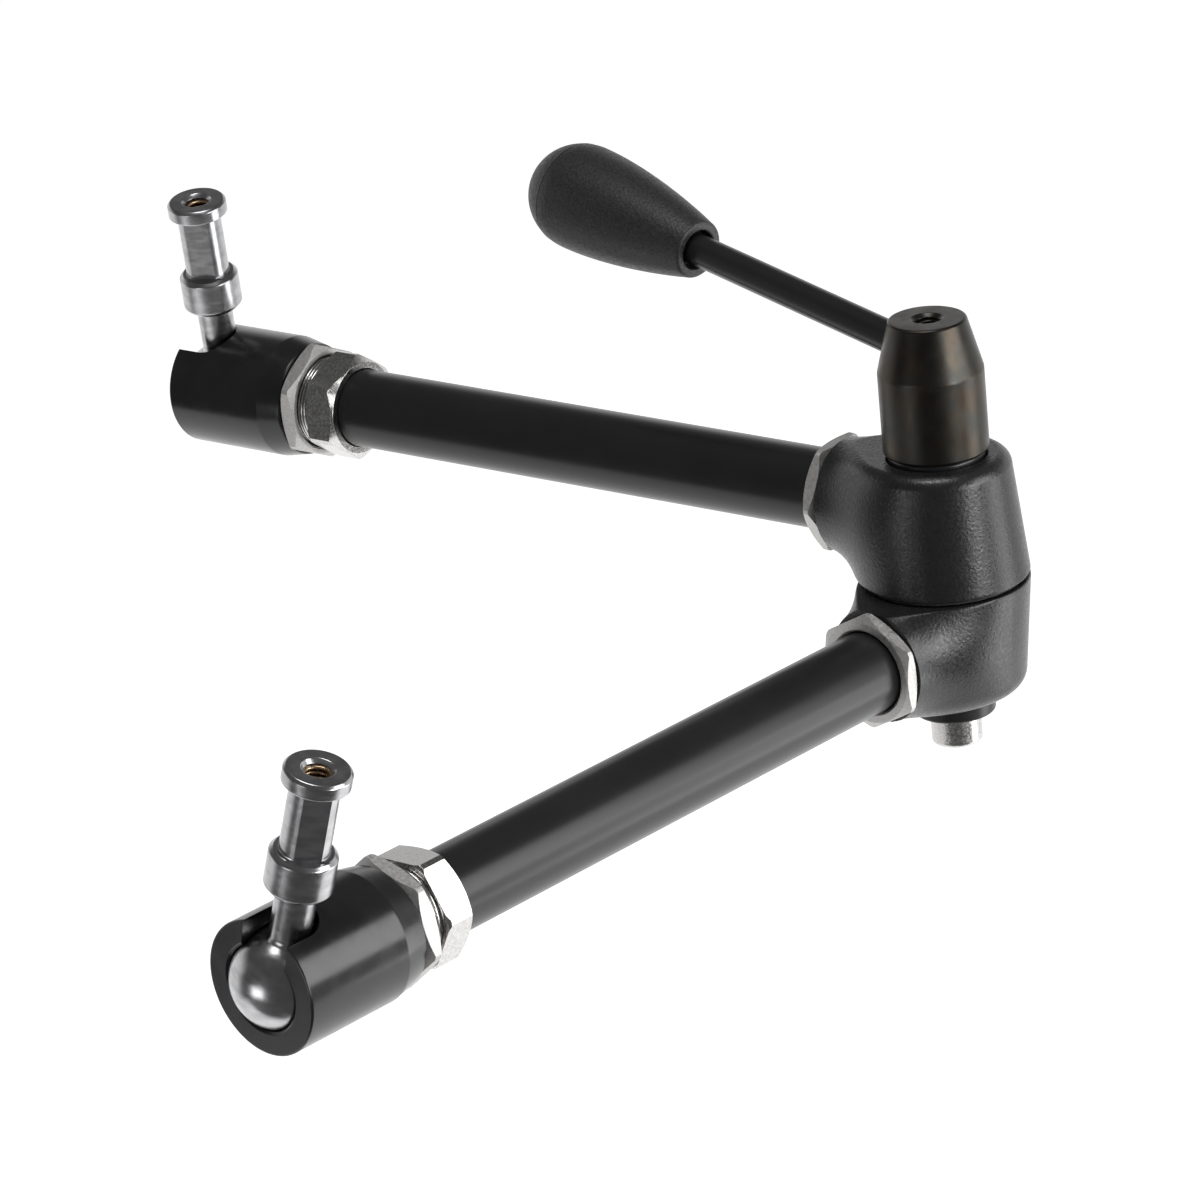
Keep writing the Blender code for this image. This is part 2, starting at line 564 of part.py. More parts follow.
def ball_stud(name, flats_turn, parent):
    """Ball, neck, collar, clamping groove with two wrench flats and tapped flange."""
    neck_angle = math.degrees(math.acos(NECK_RADIUS / BALL_RADIUS))
    mouth = TAPPED_MOUTH_RADIUS - TAPPED_RADIUS
    tapped_bottom = FLANGE_TOP - TAPPED_DEPTH
    profile = arc(BALL_RADIUS, -90.0, neck_angle, 9)
    profile[0] = (0.0, -BALL_RADIUS)
    profile += [(NECK_RADIUS, COLLAR_BOTTOM), (SPIGOT_RADIUS - COLLAR_CHAMFER, COLLAR_BOTTOM),
                (SPIGOT_RADIUS, COLLAR_BOTTOM + COLLAR_CHAMFER),
                (SPIGOT_RADIUS, COLLAR_TOP - COLLAR_CHAMFER),
                (SPIGOT_RADIUS - COLLAR_CHAMFER, COLLAR_TOP), (GROOVE_RADIUS, COLLAR_TOP),
                (GROOVE_RADIUS, FLANGE_BOTTOM), (SPIGOT_RADIUS, FLANGE_BOTTOM),
                (SPIGOT_RADIUS, FLANGE_TOP - FLANGE_CHAMFER),
                (SPIGOT_RADIUS - FLANGE_CHAMFER, FLANGE_TOP), (TAPPED_MOUTH_RADIUS, FLANGE_TOP),
                (TAPPED_RADIUS, FLANGE_TOP - mouth), (TAPPED_RADIUS, tapped_bottom),
                (0.0, tapped_bottom - 1.2 * MM)]
    stud = turned(name, profile, TURNED_STEEL, parent)
    near = 0.5 * WRENCH_FLATS
    low = COLLAR_TOP - FLATS_LEDGE
    high = FLANGE_BOTTOM - FLATS_MARGIN
    wide = 2.0 * SPIGOT_RADIUS
    outline = [(-wide, low), (wide, low), (wide, high), (-wide, high)]
    for index in range(2):
        mill = add(f"{name}_flat_{index}", prism_mesh(outline, near, wide), None,
                   parent, 0.0, flats_turn + math.pi * index)
        shape(stud, mill)


def arm_pieces(side_name, arm, turns):
    """Tube, locknut, end fitting, jam nut, socket, push rod and cup of one arm."""
    locknut_turn, fitting_turn, jam_nut_turn = turns
    inner = TUBE_RADIUS - TUBE_WALL
    tube = [(inner, TUBE_SEAT), (TUBE_RADIUS, TUBE_SEAT), (TUBE_RADIUS, TUBE_END), (inner, TUBE_END)]
    turned(side_name + "_tube", tube, BLACK_TUBE, arm, sides=FINE_SIDES)
    nut(side_name + "_tube_locknut", LOCKNUT_FLATS, LOCKNUT_CORNERS, LOCKNUT_THICKNESS,
        TUBE_BORE, arm, BOSS_FACE + GAP, -locknut_turn)
    end_fitting(side_name + "_end_fitting", fitting_turn, arm)
    nut(side_name + "_jam_nut", JAM_NUT_FLATS, JAM_NUT_CORNERS, JAM_NUT_THICKNESS, SHANK_BORE,
        arm, ARM_REACH - JAM_NUT_FRONT - JAM_NUT_THICKNESS, -jam_nut_turn)
    ball_socket(side_name + "_ball_socket", arm)
    push_rod(side_name + "_push_rod", arm)
    pressure_cup(side_name + "_pressure_cup", arm)


def basis(x_axis, y_axis, z_axis, origin=(0.0, 0.0, 0.0)):
    """A frame from its three axes and its origin."""
    turn = Matrix((x_axis, y_axis, z_axis)).transposed().to_4x4()
    return Matrix.Translation(origin) @ turn


def arm_frames(heading, height):
    """The upright frame with +X along the arm, and the arm's own with +Z along it."""
    along = Vector((math.cos(heading), math.sin(heading), 0.0))
    upright = basis(along, UP.cross(along), UP)
    arm = basis(UP, along.cross(UP), along, UP * height)
    return upright, arm


def stud_frame(arm_frame, roll, lean):
    """The frame at the ball centre with +Z along the spigot, +X on the arm's side."""
    up, across, along = (arm_frame.col[index].to_3d() for index in range(3))
    square = up * math.cos(roll) - across * math.sin(roll)
    axis = square * math.cos(lean) - along * math.sin(lean)
    forward = (along - axis * along.dot(axis)).normalized()
    centre = arm_frame.translation + along * ARM_REACH
    return basis(forward, axis.cross(forward), axis, centre)


def main():
    for obj in list(bpy.data.objects):
        bpy.data.objects.remove(obj)

    upper_upright, upper_frame = arm_frames(math.pi - HALF_ANGLE, UPPER_ARM_HEIGHT)
    lower_upright, lower_frame = arm_frames(math.pi + HALF_ANGLE, LOWER_ARM_HEIGHT)
    upper_stud = stud_frame(upper_frame, UPPER_STUD_ROLL, UPPER_STUD_LEAN)
    lower_stud = stud_frame(lower_frame, LOWER_STUD_ROLL, LOWER_STUD_LEAN)
    rod_axis = Vector((math.cos(LEVER_RISE) * math.cos(LEVER_HEADING),
                       math.cos(LEVER_RISE) * math.sin(LEVER_HEADING), math.sin(LEVER_RISE)))
    rod_side = UP.cross(rod_axis).normalized()
    rod_frame = basis(rod_axis.cross(rod_side), -rod_side, rod_axis,
                      UP * (HUB_TOP - LEVER_ROD_DROP))

    clamp = lower_stud.translation + lower_stud.col[2].to_3d() * CLAMP_HEIGHT
    whole = pivot("whole_arm", Matrix.Translation(-clamp))
    elbow = pivot("elbow_axis", Matrix.Identity(4), whole, Matrix.Identity(4))
    identity = Matrix.Identity(4)
    lower_stud_pivot = pivot("lower_ball_pivot", lower_stud, elbow, identity)
    upper_stud_pivot = pivot("upper_ball_pivot", upper_stud, elbow, identity)
    lower_body = pivot("lower_upright", lower_upright, elbow, identity)
    upper_body = pivot("upper_upright", upper_upright, elbow, identity)
    lower_arm = pivot("lower_arm_axis", lower_frame, lower_body, lower_upright)
    upper_arm = pivot("upper_arm_axis", upper_frame, upper_body, upper_upright)
    lever = pivot("lever_pivot", identity, elbow, identity)
    lever_rod = pivot("lever_rod_axis", rod_frame, lever, identity)

    casting("upper_housing", 0.0, UPPER_CASTING_HEIGHT, UPPER_DECK_ROUNDING, 1,
            upper_body, upper_arm, UPPER_COLLAR_RADIUS)
    casting("lower_housing", LOWER_SEAM, LOWER_CASTING_HEIGHT, LOWER_DECK_ROUNDING, -1,
            lower_body, lower_arm, LOWER_COLLAR_RADIUS)
    elbow_pieces(elbow)
    lever_pieces(lever, lever_rod)
    arm_pieces("upper", upper_arm, (UPPER_LOCKNUT_TURN, UPPER_FITTING_TURN, UPPER_JAM_NUT_TURN))
    arm_pieces("lower", lower_arm, (LOWER_LOCKNUT_TURN, LOWER_FITTING_TURN, LOWER_JAM_NUT_TURN))
    ball_stud("upper_ball_stud", UPPER_FLATS_TURN, upper_stud_pivot)
    ball_stud("lower_ball_stud", LOWER_FLATS_TURN, lower_stud_pivot)


main()
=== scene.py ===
"""Looks of the articulating friction arm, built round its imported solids.

Every turned piece is made again from its real profile with rounded edges and
fine facets, and every surface gets its own procedural finish. Sizes are in
metres, written in millimetres as n * MM. Stations along an arm count from its
ball's centre towards the elbow, and heights on a spigot from the same centre.
"""
import json
import math

import bmesh
import bpy
import numpy as np
from bpy.props import FloatProperty, FloatVectorProperty, IntProperty, PointerProperty
from bpy.types import Operator, Panel, PropertyGroup
from mathutils import Matrix, Vector
from mathutils.geometry import interpolate_bezier


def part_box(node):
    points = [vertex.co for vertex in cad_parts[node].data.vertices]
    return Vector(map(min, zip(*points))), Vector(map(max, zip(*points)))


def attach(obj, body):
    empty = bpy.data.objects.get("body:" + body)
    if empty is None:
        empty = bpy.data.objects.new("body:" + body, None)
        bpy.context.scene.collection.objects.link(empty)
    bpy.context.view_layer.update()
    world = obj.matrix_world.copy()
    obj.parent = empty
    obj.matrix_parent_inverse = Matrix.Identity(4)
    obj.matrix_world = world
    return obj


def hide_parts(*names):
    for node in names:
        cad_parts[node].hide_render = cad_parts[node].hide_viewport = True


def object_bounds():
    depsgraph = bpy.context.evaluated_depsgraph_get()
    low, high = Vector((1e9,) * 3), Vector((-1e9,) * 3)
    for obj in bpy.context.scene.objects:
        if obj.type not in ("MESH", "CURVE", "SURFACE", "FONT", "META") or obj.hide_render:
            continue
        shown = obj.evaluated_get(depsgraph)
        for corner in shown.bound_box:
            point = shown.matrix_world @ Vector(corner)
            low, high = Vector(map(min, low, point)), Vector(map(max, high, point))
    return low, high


bl_info = {
    "name": "Friction arm looks",
    "version": (1, 0, 0),
    "blender": (4, 5, 0),
    "location": "3D View > Sidebar > Friction arm",
    "description": "Builds the dressed friction arm and its studio round the packed solids",
    "category": "Add Mesh",
}

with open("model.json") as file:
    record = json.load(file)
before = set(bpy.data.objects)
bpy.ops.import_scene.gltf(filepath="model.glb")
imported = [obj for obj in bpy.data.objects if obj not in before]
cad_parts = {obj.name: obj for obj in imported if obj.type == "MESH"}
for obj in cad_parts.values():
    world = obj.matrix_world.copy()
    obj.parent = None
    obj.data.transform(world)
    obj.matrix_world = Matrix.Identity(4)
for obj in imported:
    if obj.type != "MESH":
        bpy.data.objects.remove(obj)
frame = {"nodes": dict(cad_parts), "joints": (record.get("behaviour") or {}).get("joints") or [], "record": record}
CAD_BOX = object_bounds()

MM = 0.001
UP = Vector((0.0, 0.0, 1.0))
JOINTS = {joint["name"]: joint for joint in frame["joints"]}
MOUNTS = {mount["name"]: mount for mount in frame["record"]["mounts"]}

# Places taken from the frame
ELBOW = Vector(JOINTS["elbow"]["pos_m"])
UPPER_BALL = Vector(JOINTS["upper_ball_tilt"]["pos_m"])
LOWER_BALL = Vector(JOINTS["lower_ball_tilt"]["pos_m"])
ARM_REACH = (UPPER_BALL - ELBOW).xy.length

# Elbow castings
GAP = 0.3 * MM
SEAM_RADIUS = 21.5 * MM
CASTING_DRAFT = 0.1
UPPER_CASTING_HEIGHT = 31.9 * MM
LOWER_CASTING_HEIGHT = 30.5 * MM
LOWER_SEAM = -1.0 * MM
UPPER_DECK_ROUNDING = 3.2 * MM
LOWER_DECK_ROUNDING = 5.0 * MM
BOSS_RADIUS = 14.2 * MM
BOSS_FACE = 28.7 * MM
BOSS_BLEND = 14.0 * MM
CASTING_FLOOR = 6.5 * MM
PARTING_RIDGE = 0.08 * MM
SPRING_PASSAGE = 7.6 * MM
TUBE_SEAT = 20.0 * MM
UPPER_COLLAR_RADIUS = 12.3 * MM
LOWER_COLLAR_RADIUS = 10.4 * MM
CONE_RADIUS_AT_ROD = 8.0 * MM
CONE_SLOPE = 0.5
CONE_NOSE_LENGTH = 5.7 * MM
SPINDLE_RADIUS = 4.0 * MM
SPINDLE_HEAD_RADIUS = 6.5 * MM
SPINDLE_HEAD_LENGTH = 8.1 * MM
ROD_BORE_RADIUS = 4.4 * MM

# Tubes, nuts and end fittings
TUBE_RADIUS = 10.45 * MM
TUBE_WALL = 2.5 * MM
LOCKNUT_FLATS = 27.0 * MM
LOCKNUT_CORNERS = 15.2 * MM
LOCKNUT_THICKNESS = 3.7 * MM
JAM_NUT_FLATS = 29.0 * MM
JAM_NUT_CORNERS = 16.4 * MM
JAM_NUT_THICKNESS = 4.5 * MM
THREAD_SHOWN = 3.4 * MM
SHANK_RADIUS = 12.3 * MM
SHANK_END = 14.5 * MM
FITTING_FLATS = 26.0 * MM
FITTING_CORNERS = 14.6 * MM
FITTING_HEX_LENGTH = 8.8 * MM
FITTING_TUBE_DEPTH = 15.5 * MM
CUP_RADIUS = 8.0 * MM

# Ball sockets
BALL_RADIUS = 12.0 * MM
SOCKET_RADIUS = 16.5 * MM
SOCKET_MOUTH = 6.7 * MM
SOCKET_BACK = 31.4 * MM
SOCKET_BACK_RADIUS = 15.1 * MM
SOCKET_TAPER = 24.4 * MM
SLOT_ROLL = math.radians(14.5)
SLOT_WIDTH = 14.0 * MM
SLOT_END = 0.5 * MM

# Spigots
NECK_RADIUS = 4.8 * MM
SPIGOT_RADIUS = 8.0 * MM
COLLAR_BOTTOM = 24.6 * MM
COLLAR_TOP = 35.2 * MM
COLLAR_CHAMFER = 1.1 * MM
GROOVE_RADIUS = 5.85 * MM
FLANGE_BOTTOM = 53.0 * MM
FLANGE_TOP = 56.8 * MM
FLANGE_CHAMFER = 0.7 * MM
WRENCH_FLATS = 9.8 * MM
FLATS_MARGIN = 0.6 * MM
FLATS_LEDGE = 0.3 * MM
TAPPED_MOUTH_RADIUS = 4.05 * MM
TAPPED_DEPTH = 12.0 * MM
THREAD_ROOT_RADIUS = 3.15 * MM

# Lever
HUB_RADIUS = 13.35 * MM
HUB_HEIGHT = 34.4 * MM
HUB_CONE_HEIGHT = 13.3 * MM
HUB_TOP_RADIUS = 9.85 * MM
HUB_TAPPED_DEPTH = 10.0 * MM
HUB_OVER_DECK = 1.5 * MM
SPINDLE_THREAD_IN_HUB = 18.6 * MM
LEVER_HEADING = math.radians(127.0)
LEVER_RISE = math.radians(8.6)
LEVER_ROD_DROP = 9.8 * MM
LEVER_ROD_RADIUS = 4.15 * MM
LEVER_ROD_START = 4.6 * MM
GRIP_START = 83.4 * MM
GRIP_RADIUS = 14.15 * MM
GRIP_WIDEST = 127.0 * MM
GRIP_END = 142.8 * MM
GRIP_BASE_RADIUS = 7.85 * MM
GRIP_BASE_ROUNDING = 1.1 * MM
GRIP_FLARE = 0.275
GRIP_FLARE_LENGTH = 8.9 * MM
GRIP_SHOULDER_LENGTH = 15.0 * MM
GRIP_MOUTH_RADIUS = 5.2 * MM
GRIP_MOUTH_DEPTH = 4.0 * MM
GRIP_BORE_DEPTH = 22.0 * MM
GRIP_MOULD_LINE = 131.0 * MM
GRIP_MOULD_RIDGE = 0.07 * MM
GRIP_MOULD_EDGES = (-0.9, -0.3, 0.3, 0.9)

# Sizes that follow
HUB_BOTTOM = UPPER_CASTING_HEIGHT + HUB_OVER_DECK
HUB_TOP = HUB_BOTTOM + HUB_HEIGHT
LOWER_COLLAR_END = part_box("lower_wedge")[0][2] - ELBOW.z
TUBE_BORE = TUBE_RADIUS + GAP
SHANK_BORE = SHANK_RADIUS + GAP
JAM_NUT_FRONT = SOCKET_BACK + GAP
FITTING_HEX_FRONT = JAM_NUT_FRONT + JAM_NUT_THICKNESS + THREAD_SHOWN
FITTING_BACK = FITTING_HEX_FRONT + FITTING_HEX_LENGTH

# The photograph's camera, found by fitting the solids to it
CAMERA_TURN = math.radians(-3.011)
CAMERA_ELEVATION = math.radians(21.531)
CAMERA_ROLL = math.radians(-5.586)
CAMERA_FROM_ELBOW = Vector((-156.49, -1317.14, 523.93)) * MM
CAMERA_LENS = 169.89
SENSOR = 36.0

# Softboxes: place from the arm's middle in metres, width and height, brightness
SOFTBOXES = {
    "right_softbox": ((1.05, -0.42, 0.30), (0.55, 0.75), 5.0),
    "near_softbox": ((0.95, -0.95, 0.02), (0.45, 0.55), 9.5),
    "left_softbox": ((-0.95, -0.75, -0.22), (0.50, 0.40), 2.5),
    "low_right_softbox": ((0.66, -0.08, -0.30), (0.30, 0.60), 3.5),
    "top_softbox": ((-0.05, -0.20, 1.25), (0.60, 0.40), 8.0),
}
FLOOR_GLOW = 0.62
FLOOR_HALF_WIDTH = 0.75
FLOOR_FRONT = 0.25
FLOOR_BACK = 2.6

# The white sweep in shiny surfaces, by a ray's direction: where it starts and is full
SWEEP_BEHIND = (0.05, 0.35)
SWEEP_TOP = (0.50, 0.26)
SKY_RISE = (-0.4, 0.5)

# How the meshes are made
POLE = 1e-7
SHARP_ANGLE = math.radians(24.0)
FILLET_STEPS = 4
FILLET_SHARE = 0.45
BEVEL_SEGMENTS = 2
HELIX_STEPS = 64
RIDGE_SIDES = 4
CASTING_DIRECTIONS = 160
CASTING_WALL_LEVELS = 60
ROUNDING_STEP = 6.0
HALVINGS = 32
SEAM_CHAMFER = 0.6 * MM
SEAM_LEVELS = (0.0, 0.15 * MM, 0.35 * MM, SEAM_CHAMFER)
LIP_CHAMFER = 0.8 * MM
NUT_CHAMFER = math.radians(30.0)
NUT_LAND = 0.3 * MM
NUT_BORE_CHAMFER = 0.6 * MM
FITTING_CHAMFER = math.radians(35.0)
FITTING_LAND = 0.5 * MM
HEXAGON_EDGES = math.radians(28.0)
SLOT_EDGES = math.radians(40.0)
TAPPED_CONE = 1.2 * MM
TAPPED_MOUTH_DEPTH = TAPPED_MOUTH_RADIUS - THREAD_ROOT_RADIUS
OVERCUT = 5.0 * MM

# How the finishes are made
NOISE_SPREAD = 0.12
WAVE_REPEAT = 0.314


def number_field(name, description, default, low, high, unit="NONE"):
    """A number that the user sets."""
    return FloatProperty(name=name, description=description, default=default, min=low, max=high,
                         unit=unit)


def colour_field(name, description, *default):
    """A colour that the user picks."""
    return FloatVectorProperty(name=name, description=description, subtype="COLOR", size=3,
                               default=default, min=0.0, max=1.0)


class ArmLooks(PropertyGroup):
    """Sizes and colours of the finishes that a user would change."""
    facets: IntProperty(
        name="Facets", description="Facets round each turned piece", default=128, min=24, max=256)
    edge: number_field(
        "Edge rounding", "Rounding of machined edges", 0.25 * MM, 0.0, 1.0 * MM, "LENGTH")
    thread_pitch: number_field(
        "Shank thread pitch", "Pitch of the end fittings' male thread",
        1.0 * MM, 0.5 * MM, 2.0 * MM, "LENGTH")
    tapped_pitch: number_field(
        "Tapped hole pitch", "Pitch of the threads in the spigots and the hub",
        1.27 * MM, 0.5 * MM, 2.0 * MM, "LENGTH")
    casting_colour: colour_field("Casting", "Powder coat on both castings", 0.0115, 0.0115, 0.012)
    tube_colour: colour_field("Tube", "Satin black of the tubes", 0.0125, 0.0125, 0.013)
    socket_colour: colour_field("Socket", "Black of the ball sockets", 0.0105, 0.0105, 0.011)
    grip_colour: colour_field("Grip", "Plastic of the lever's grip", 0.017, 0.017, 0.0175)
    hub_colour: colour_field("Hub", "Oil-blackened steel of the lever's hub", 0.050, 0.047, 0.042)
    steel_colour: colour_field(
        "Spigot steel", "Turned steel of balls and spigots", 0.46, 0.46, 0.47)
    nickel_colour: colour_field("Nickel", "Plating of the nuts and end fittings", 0.60, 0.59, 0.58)


class StudioLooks(PropertyGroup):
    """Light levels and the floor of the stage."""
    sky_strength: number_field("Sky", "Strength of the even light from above", 0.40, 0.0, 2.0)
    room_strength: number_field(
        "Dim room", "What shiny surfaces see of the room in front of the sweep", 0.10, 0.0, 1.0)
    light_level: number_field("Light level", "Brightness of all the softboxes", 1.0, 0.0, 10.0)
    floor_drop: number_field(
        "Floor drop", "Distance of the floor below the arm", 300.0 * MM, 0.0, 1.0, "LENGTH")
    floor_colour: colour_field("Floor", "Pale floor", 0.86, 0.86, 0.86)


def looks():
    return bpy.context.scene.arm_looks


def studio():
    return bpy.context.scene.studio_looks


# Frames

def axes_at(origin, axis, across=UP):
    """A frame with +Z along axis and +X as near to across as it can be."""
    along = axis.normalized()
    side = along.cross(across).normalized()
    turn = Matrix((side.cross(along), side, along)).transposed().to_4x4()
    return Matrix.Translation(origin) @ turn


class Arm:
    """Places of one arm: its axis, its spigot and how its nuts are turned."""

    def __init__(self, name, ball, spigot_mount, turns, flats_turn):
        self.name = name
        self.body = name + "_arm"
        self.ball = ball
        along = ball - ELBOW
        self.height = along.z
        self.along = Vector((along.x, along.y, 0.0)).normalized()
        self.axis = axes_at(ELBOW + UP * self.height, self.along)
        self.locknut_turn, self.fitting_turn, self.jam_nut_turn = turns
        self.spigot = axes_at(ball, Vector(MOUNTS[spigot_mount]["axis"]), self.along)
        self.flats_turn = flats_turn

    def at(self, station, turn=0.0):
        """The frame at a station from the elbow, turned from up towards the far side."""
        return self.axis @ Matrix.Translation(UP * station) @ Matrix.Rotation(-turn, 4, "Z")

    def at_ball(self, turn=0.0):
        return self.at(ARM_REACH, turn)


UPPER_ARM = Arm("upper", UPPER_BALL, "upper_spigot_face",
                [math.radians(angle) for angle in (31.0, 54.0, 4.0)], math.radians(117.0))
LOWER_ARM = Arm("lower", LOWER_BALL, "lower_spigot_face",
                [math.radians(angle) for angle in (1.5, 27.0, 47.0)], math.radians(53.0))
ARMS = (UPPER_ARM, LOWER_ARM)

ROD_AXIS = Vector((math.cos(LEVER_RISE) * math.cos(LEVER_HEADING),
                   math.cos(LEVER_RISE) * math.sin(LEVER_HEADING), math.sin(LEVER_RISE)))
ROD_FRAME = axes_at(ELBOW + UP * (HUB_TOP - LEVER_ROD_DROP), ROD_AXIS)
ELBOW_FRAME = Matrix.Translation(ELBOW)


# Profiles, as (radius, station) points

def rounded(corners):
    """Round the corners of a profile; a corner's third value is its own fillet."""
    points = []
    for index, corner in enumerate(corners):
        here = Vector(corner[:2])
        size = corner[2] if len(corner) > 2 else looks().edge
        if index in (0, len(corners) - 1) or size <= 0.0:
            points.append(tuple(here))
            continue
        before = Vector(corners[index - 1][:2]) - here
        after = Vector(corners[index + 1][:2]) - here
        size = min(size, FILLET_SHARE * before.length, FILLET_SHARE * after.length)
        start = here + before.normalized() * size
        end = here + after.normalized() * size
        for step in range(FILLET_STEPS + 1):
            share = step / FILLET_STEPS
            point = start * (1.0 - share) ** 2 + here * (2.0 * share * (1.0 - share))
            points.append(tuple(point + end * share ** 2))
    return points


def arc(radius, start, end, steps, centre=(0.0, 0.0)):
    points = []
    for step in range(steps + 1):
        angle = math.radians(start + (end - start) * step / steps)
        points.append((centre[0] + radius * math.cos(angle), centre[1] + radius * math.sin(angle)))
    return points


# Meshes

def polar(radius, angle, height):
    return Vector((radius * math.cos(angle), radius * math.sin(angle), height))


def link(name, mesh, material=None):
    """Turn a bmesh into an object at the origin, smooth with its sharp edges kept."""
    bmesh.ops.recalc_face_normals(mesh, faces=mesh.faces)
    data = bpy.data.meshes.new(name)
    mesh.to_mesh(data)
    mesh.free()
    piece = bpy.data.objects.new(name, data)
    bpy.context.scene.collection.objects.link(piece)
    if material:
        data.materials.append(material)
    smooth(piece)
    return piece


def smooth(piece):
    piece.data.shade_smooth()
    piece.data.set_sharp_from_angle(angle=SHARP_ANGLE)


def skin(mesh, low, high, sides):
    """Faces between two rings of points; a ring may be a single point."""
    for side in range(sides):
        after = (side + 1) % sides
        corners = (low[side % len(low)], low[after % len(low)],
                   high[after % len(high)], high[side % len(high)])
        corners = list(dict.fromkeys(corners))
        if len(corners) > 2:
            mesh.faces.new(corners)


def turned_mesh(profile, place, sides=None):
    """Turn a profile about its frame's Z axis; one off the axis closes on itself."""
    sides = sides or looks().facets
    mesh = bmesh.new()
    rings = []
    for radius, station in profile:
        if radius < POLE:
            rings.append([mesh.verts.new(place @ Vector((0.0, 0.0, station)))])
            continue
        ring = []
        for side in range(sides):
            point = polar(radius, 2.0 * math.pi * side / sides, station)
            ring.append(mesh.verts.new(place @ point))
        rings.append(ring)
    pairs = list(zip(rings, rings[1:]))
    if len(rings[0]) > 1 or len(rings[-1]) > 1:
        pairs.append((rings[-1], rings[0]))
    for low, high in pairs:
        skin(mesh, low, high, sides)
    return mesh


def turned(name, profile, place, material=None, sides=None):
    return link(name, turned_mesh(profile, place, sides), material)


def prism(name, outline, start, end, place):
    """Extrude an outline in the frame's YZ plane along its X axis."""
    mesh = bmesh.new()
    caps = []
    for depth in (start, end):
        caps.append([mesh.verts.new(place @ Vector((depth, y, z))) for y, z in outline])
    for cap in caps:
        mesh.faces.new(cap)
    for index in range(len(outline)):
        after = (index + 1) % len(outline)
        mesh.faces.new((caps[0][index], caps[0][after], caps[1][after], caps[1][index]))
    return link(name, mesh)


def settle(piece):
    """Make a piece's modifiers part of its mesh."""
    evaluated = piece.evaluated_get(bpy.context.evaluated_depsgraph_get())
    data = bpy.data.meshes.new_from_object(evaluated)
    old = piece.data
    piece.modifiers.clear()
    piece.data = data
    data.name = piece.name
    bpy.data.meshes.remove(old)


def carve(piece, *cutters, operation="DIFFERENCE"):
    """Cut a piece with others, which are then removed."""
    for cutter in cutters:
        modifier = piece.modifiers.new("carve", "BOOLEAN")
        modifier.operation = operation
        modifier.solver = "EXACT"
        modifier.object = cutter
        settle(piece)
        bpy.data.objects.remove(cutter)
    smooth(piece)


def soften(piece, width, angle):
    """Round the sharp edges that a cut left."""
    mesh = bmesh.new()
    mesh.from_mesh(piece.data)
    bmesh.ops.remove_doubles(mesh, verts=mesh.verts, dist=0.03 * MM)
    bmesh.ops.dissolve_limit(mesh, angle_limit=math.radians(0.2), verts=mesh.verts,
                             edges=mesh.edges)
    mesh.to_mesh(piece.data)
    mesh.free()
    modifier = piece.modifiers.new("soften", "BEVEL")
    modifier.width = width
    modifier.segments = BEVEL_SEGMENTS
    modifier.limit_method = "ANGLE"
    modifier.angle_limit = angle
    modifier.harden_normals = False
    settle(piece)
    smooth(piece)


def place_piece(piece, body, slot, *nodes):
    """Let a finished piece ride on its body and stand for its solids.

    Weighted normals keep large faces flat between their rounded edges.
    """
    modifier = piece.modifiers.new("weighted", "WEIGHTED_NORMAL")
    modifier.keep_sharp = True
    settle(piece)
    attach(piece, body)
    if nodes:
        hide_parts(*nodes)


# Nodes

def add_node(tree, kind, inputs, **settings):
    """Add a node; an input that is given a socket is linked, any other is set."""
    node = tree.nodes.new(kind)
    for name, value in settings.items():
        setattr(node, name, value)
    for key, value in inputs.items():
        if isinstance(value, bpy.types.NodeSocket):
            tree.links.new(value, node.inputs[key])
        else:
            node.inputs[key].default_value = value
    return node


def thread_tree():
    """A helical thread ridge along +Z with its size set by named inputs."""
    tree = bpy.data.node_groups.get("helical_thread")
    if tree:
        return tree
    tree = bpy.data.node_groups.new("helical_thread", "GeometryNodeTree")
    face = tree.interface
    face.new_socket("Geometry", in_out="OUTPUT", socket_type="NodeSocketGeometry")
    for label in ("Radius", "Pitch", "Length", "Ridge"):
        face.new_socket(label, in_out="INPUT", socket_type="NodeSocketFloat")
    face.new_socket("Material", in_out="INPUT", socket_type="NodeSocketMaterial")
    given = tree.nodes.new("NodeGroupInput").outputs
    turns = add_node(tree, "ShaderNodeMath", {0: given["Length"], 1: given["Pitch"]},
                     operation="DIVIDE")
    helix = add_node(tree, "GeometryNodeCurveSpiral", {
        "Resolution": HELIX_STEPS, "Rotations": turns.outputs[0], "Height": given["Length"],
        "Start Radius": given["Radius"], "End Radius": given["Radius"]})
    upright = add_node(tree, "GeometryNodeSetCurveNormal", {"Curve": helix.outputs["Curve"]},
                       mode="Z_UP")
    section = add_node(tree, "GeometryNodeCurvePrimitiveCircle", {
        "Resolution": RIDGE_SIDES, "Radius": given["Ridge"]})
    sweep = add_node(tree, "GeometryNodeCurveToMesh", {
        "Curve": upright.outputs["Curve"], "Profile Curve": section.outputs["Curve"],
        "Fill Caps": True})
    real = add_node(tree, "GeometryNodeRealizeInstances", {"Geometry": sweep.outputs["Mesh"]})
    finish = add_node(tree, "GeometryNodeSetMaterial", {
        "Geometry": real.outputs["Geometry"], "Material": given["Material"]})
    add_node(tree, "NodeGroupOutput", {"Geometry": finish.outputs["Geometry"]})
    return tree


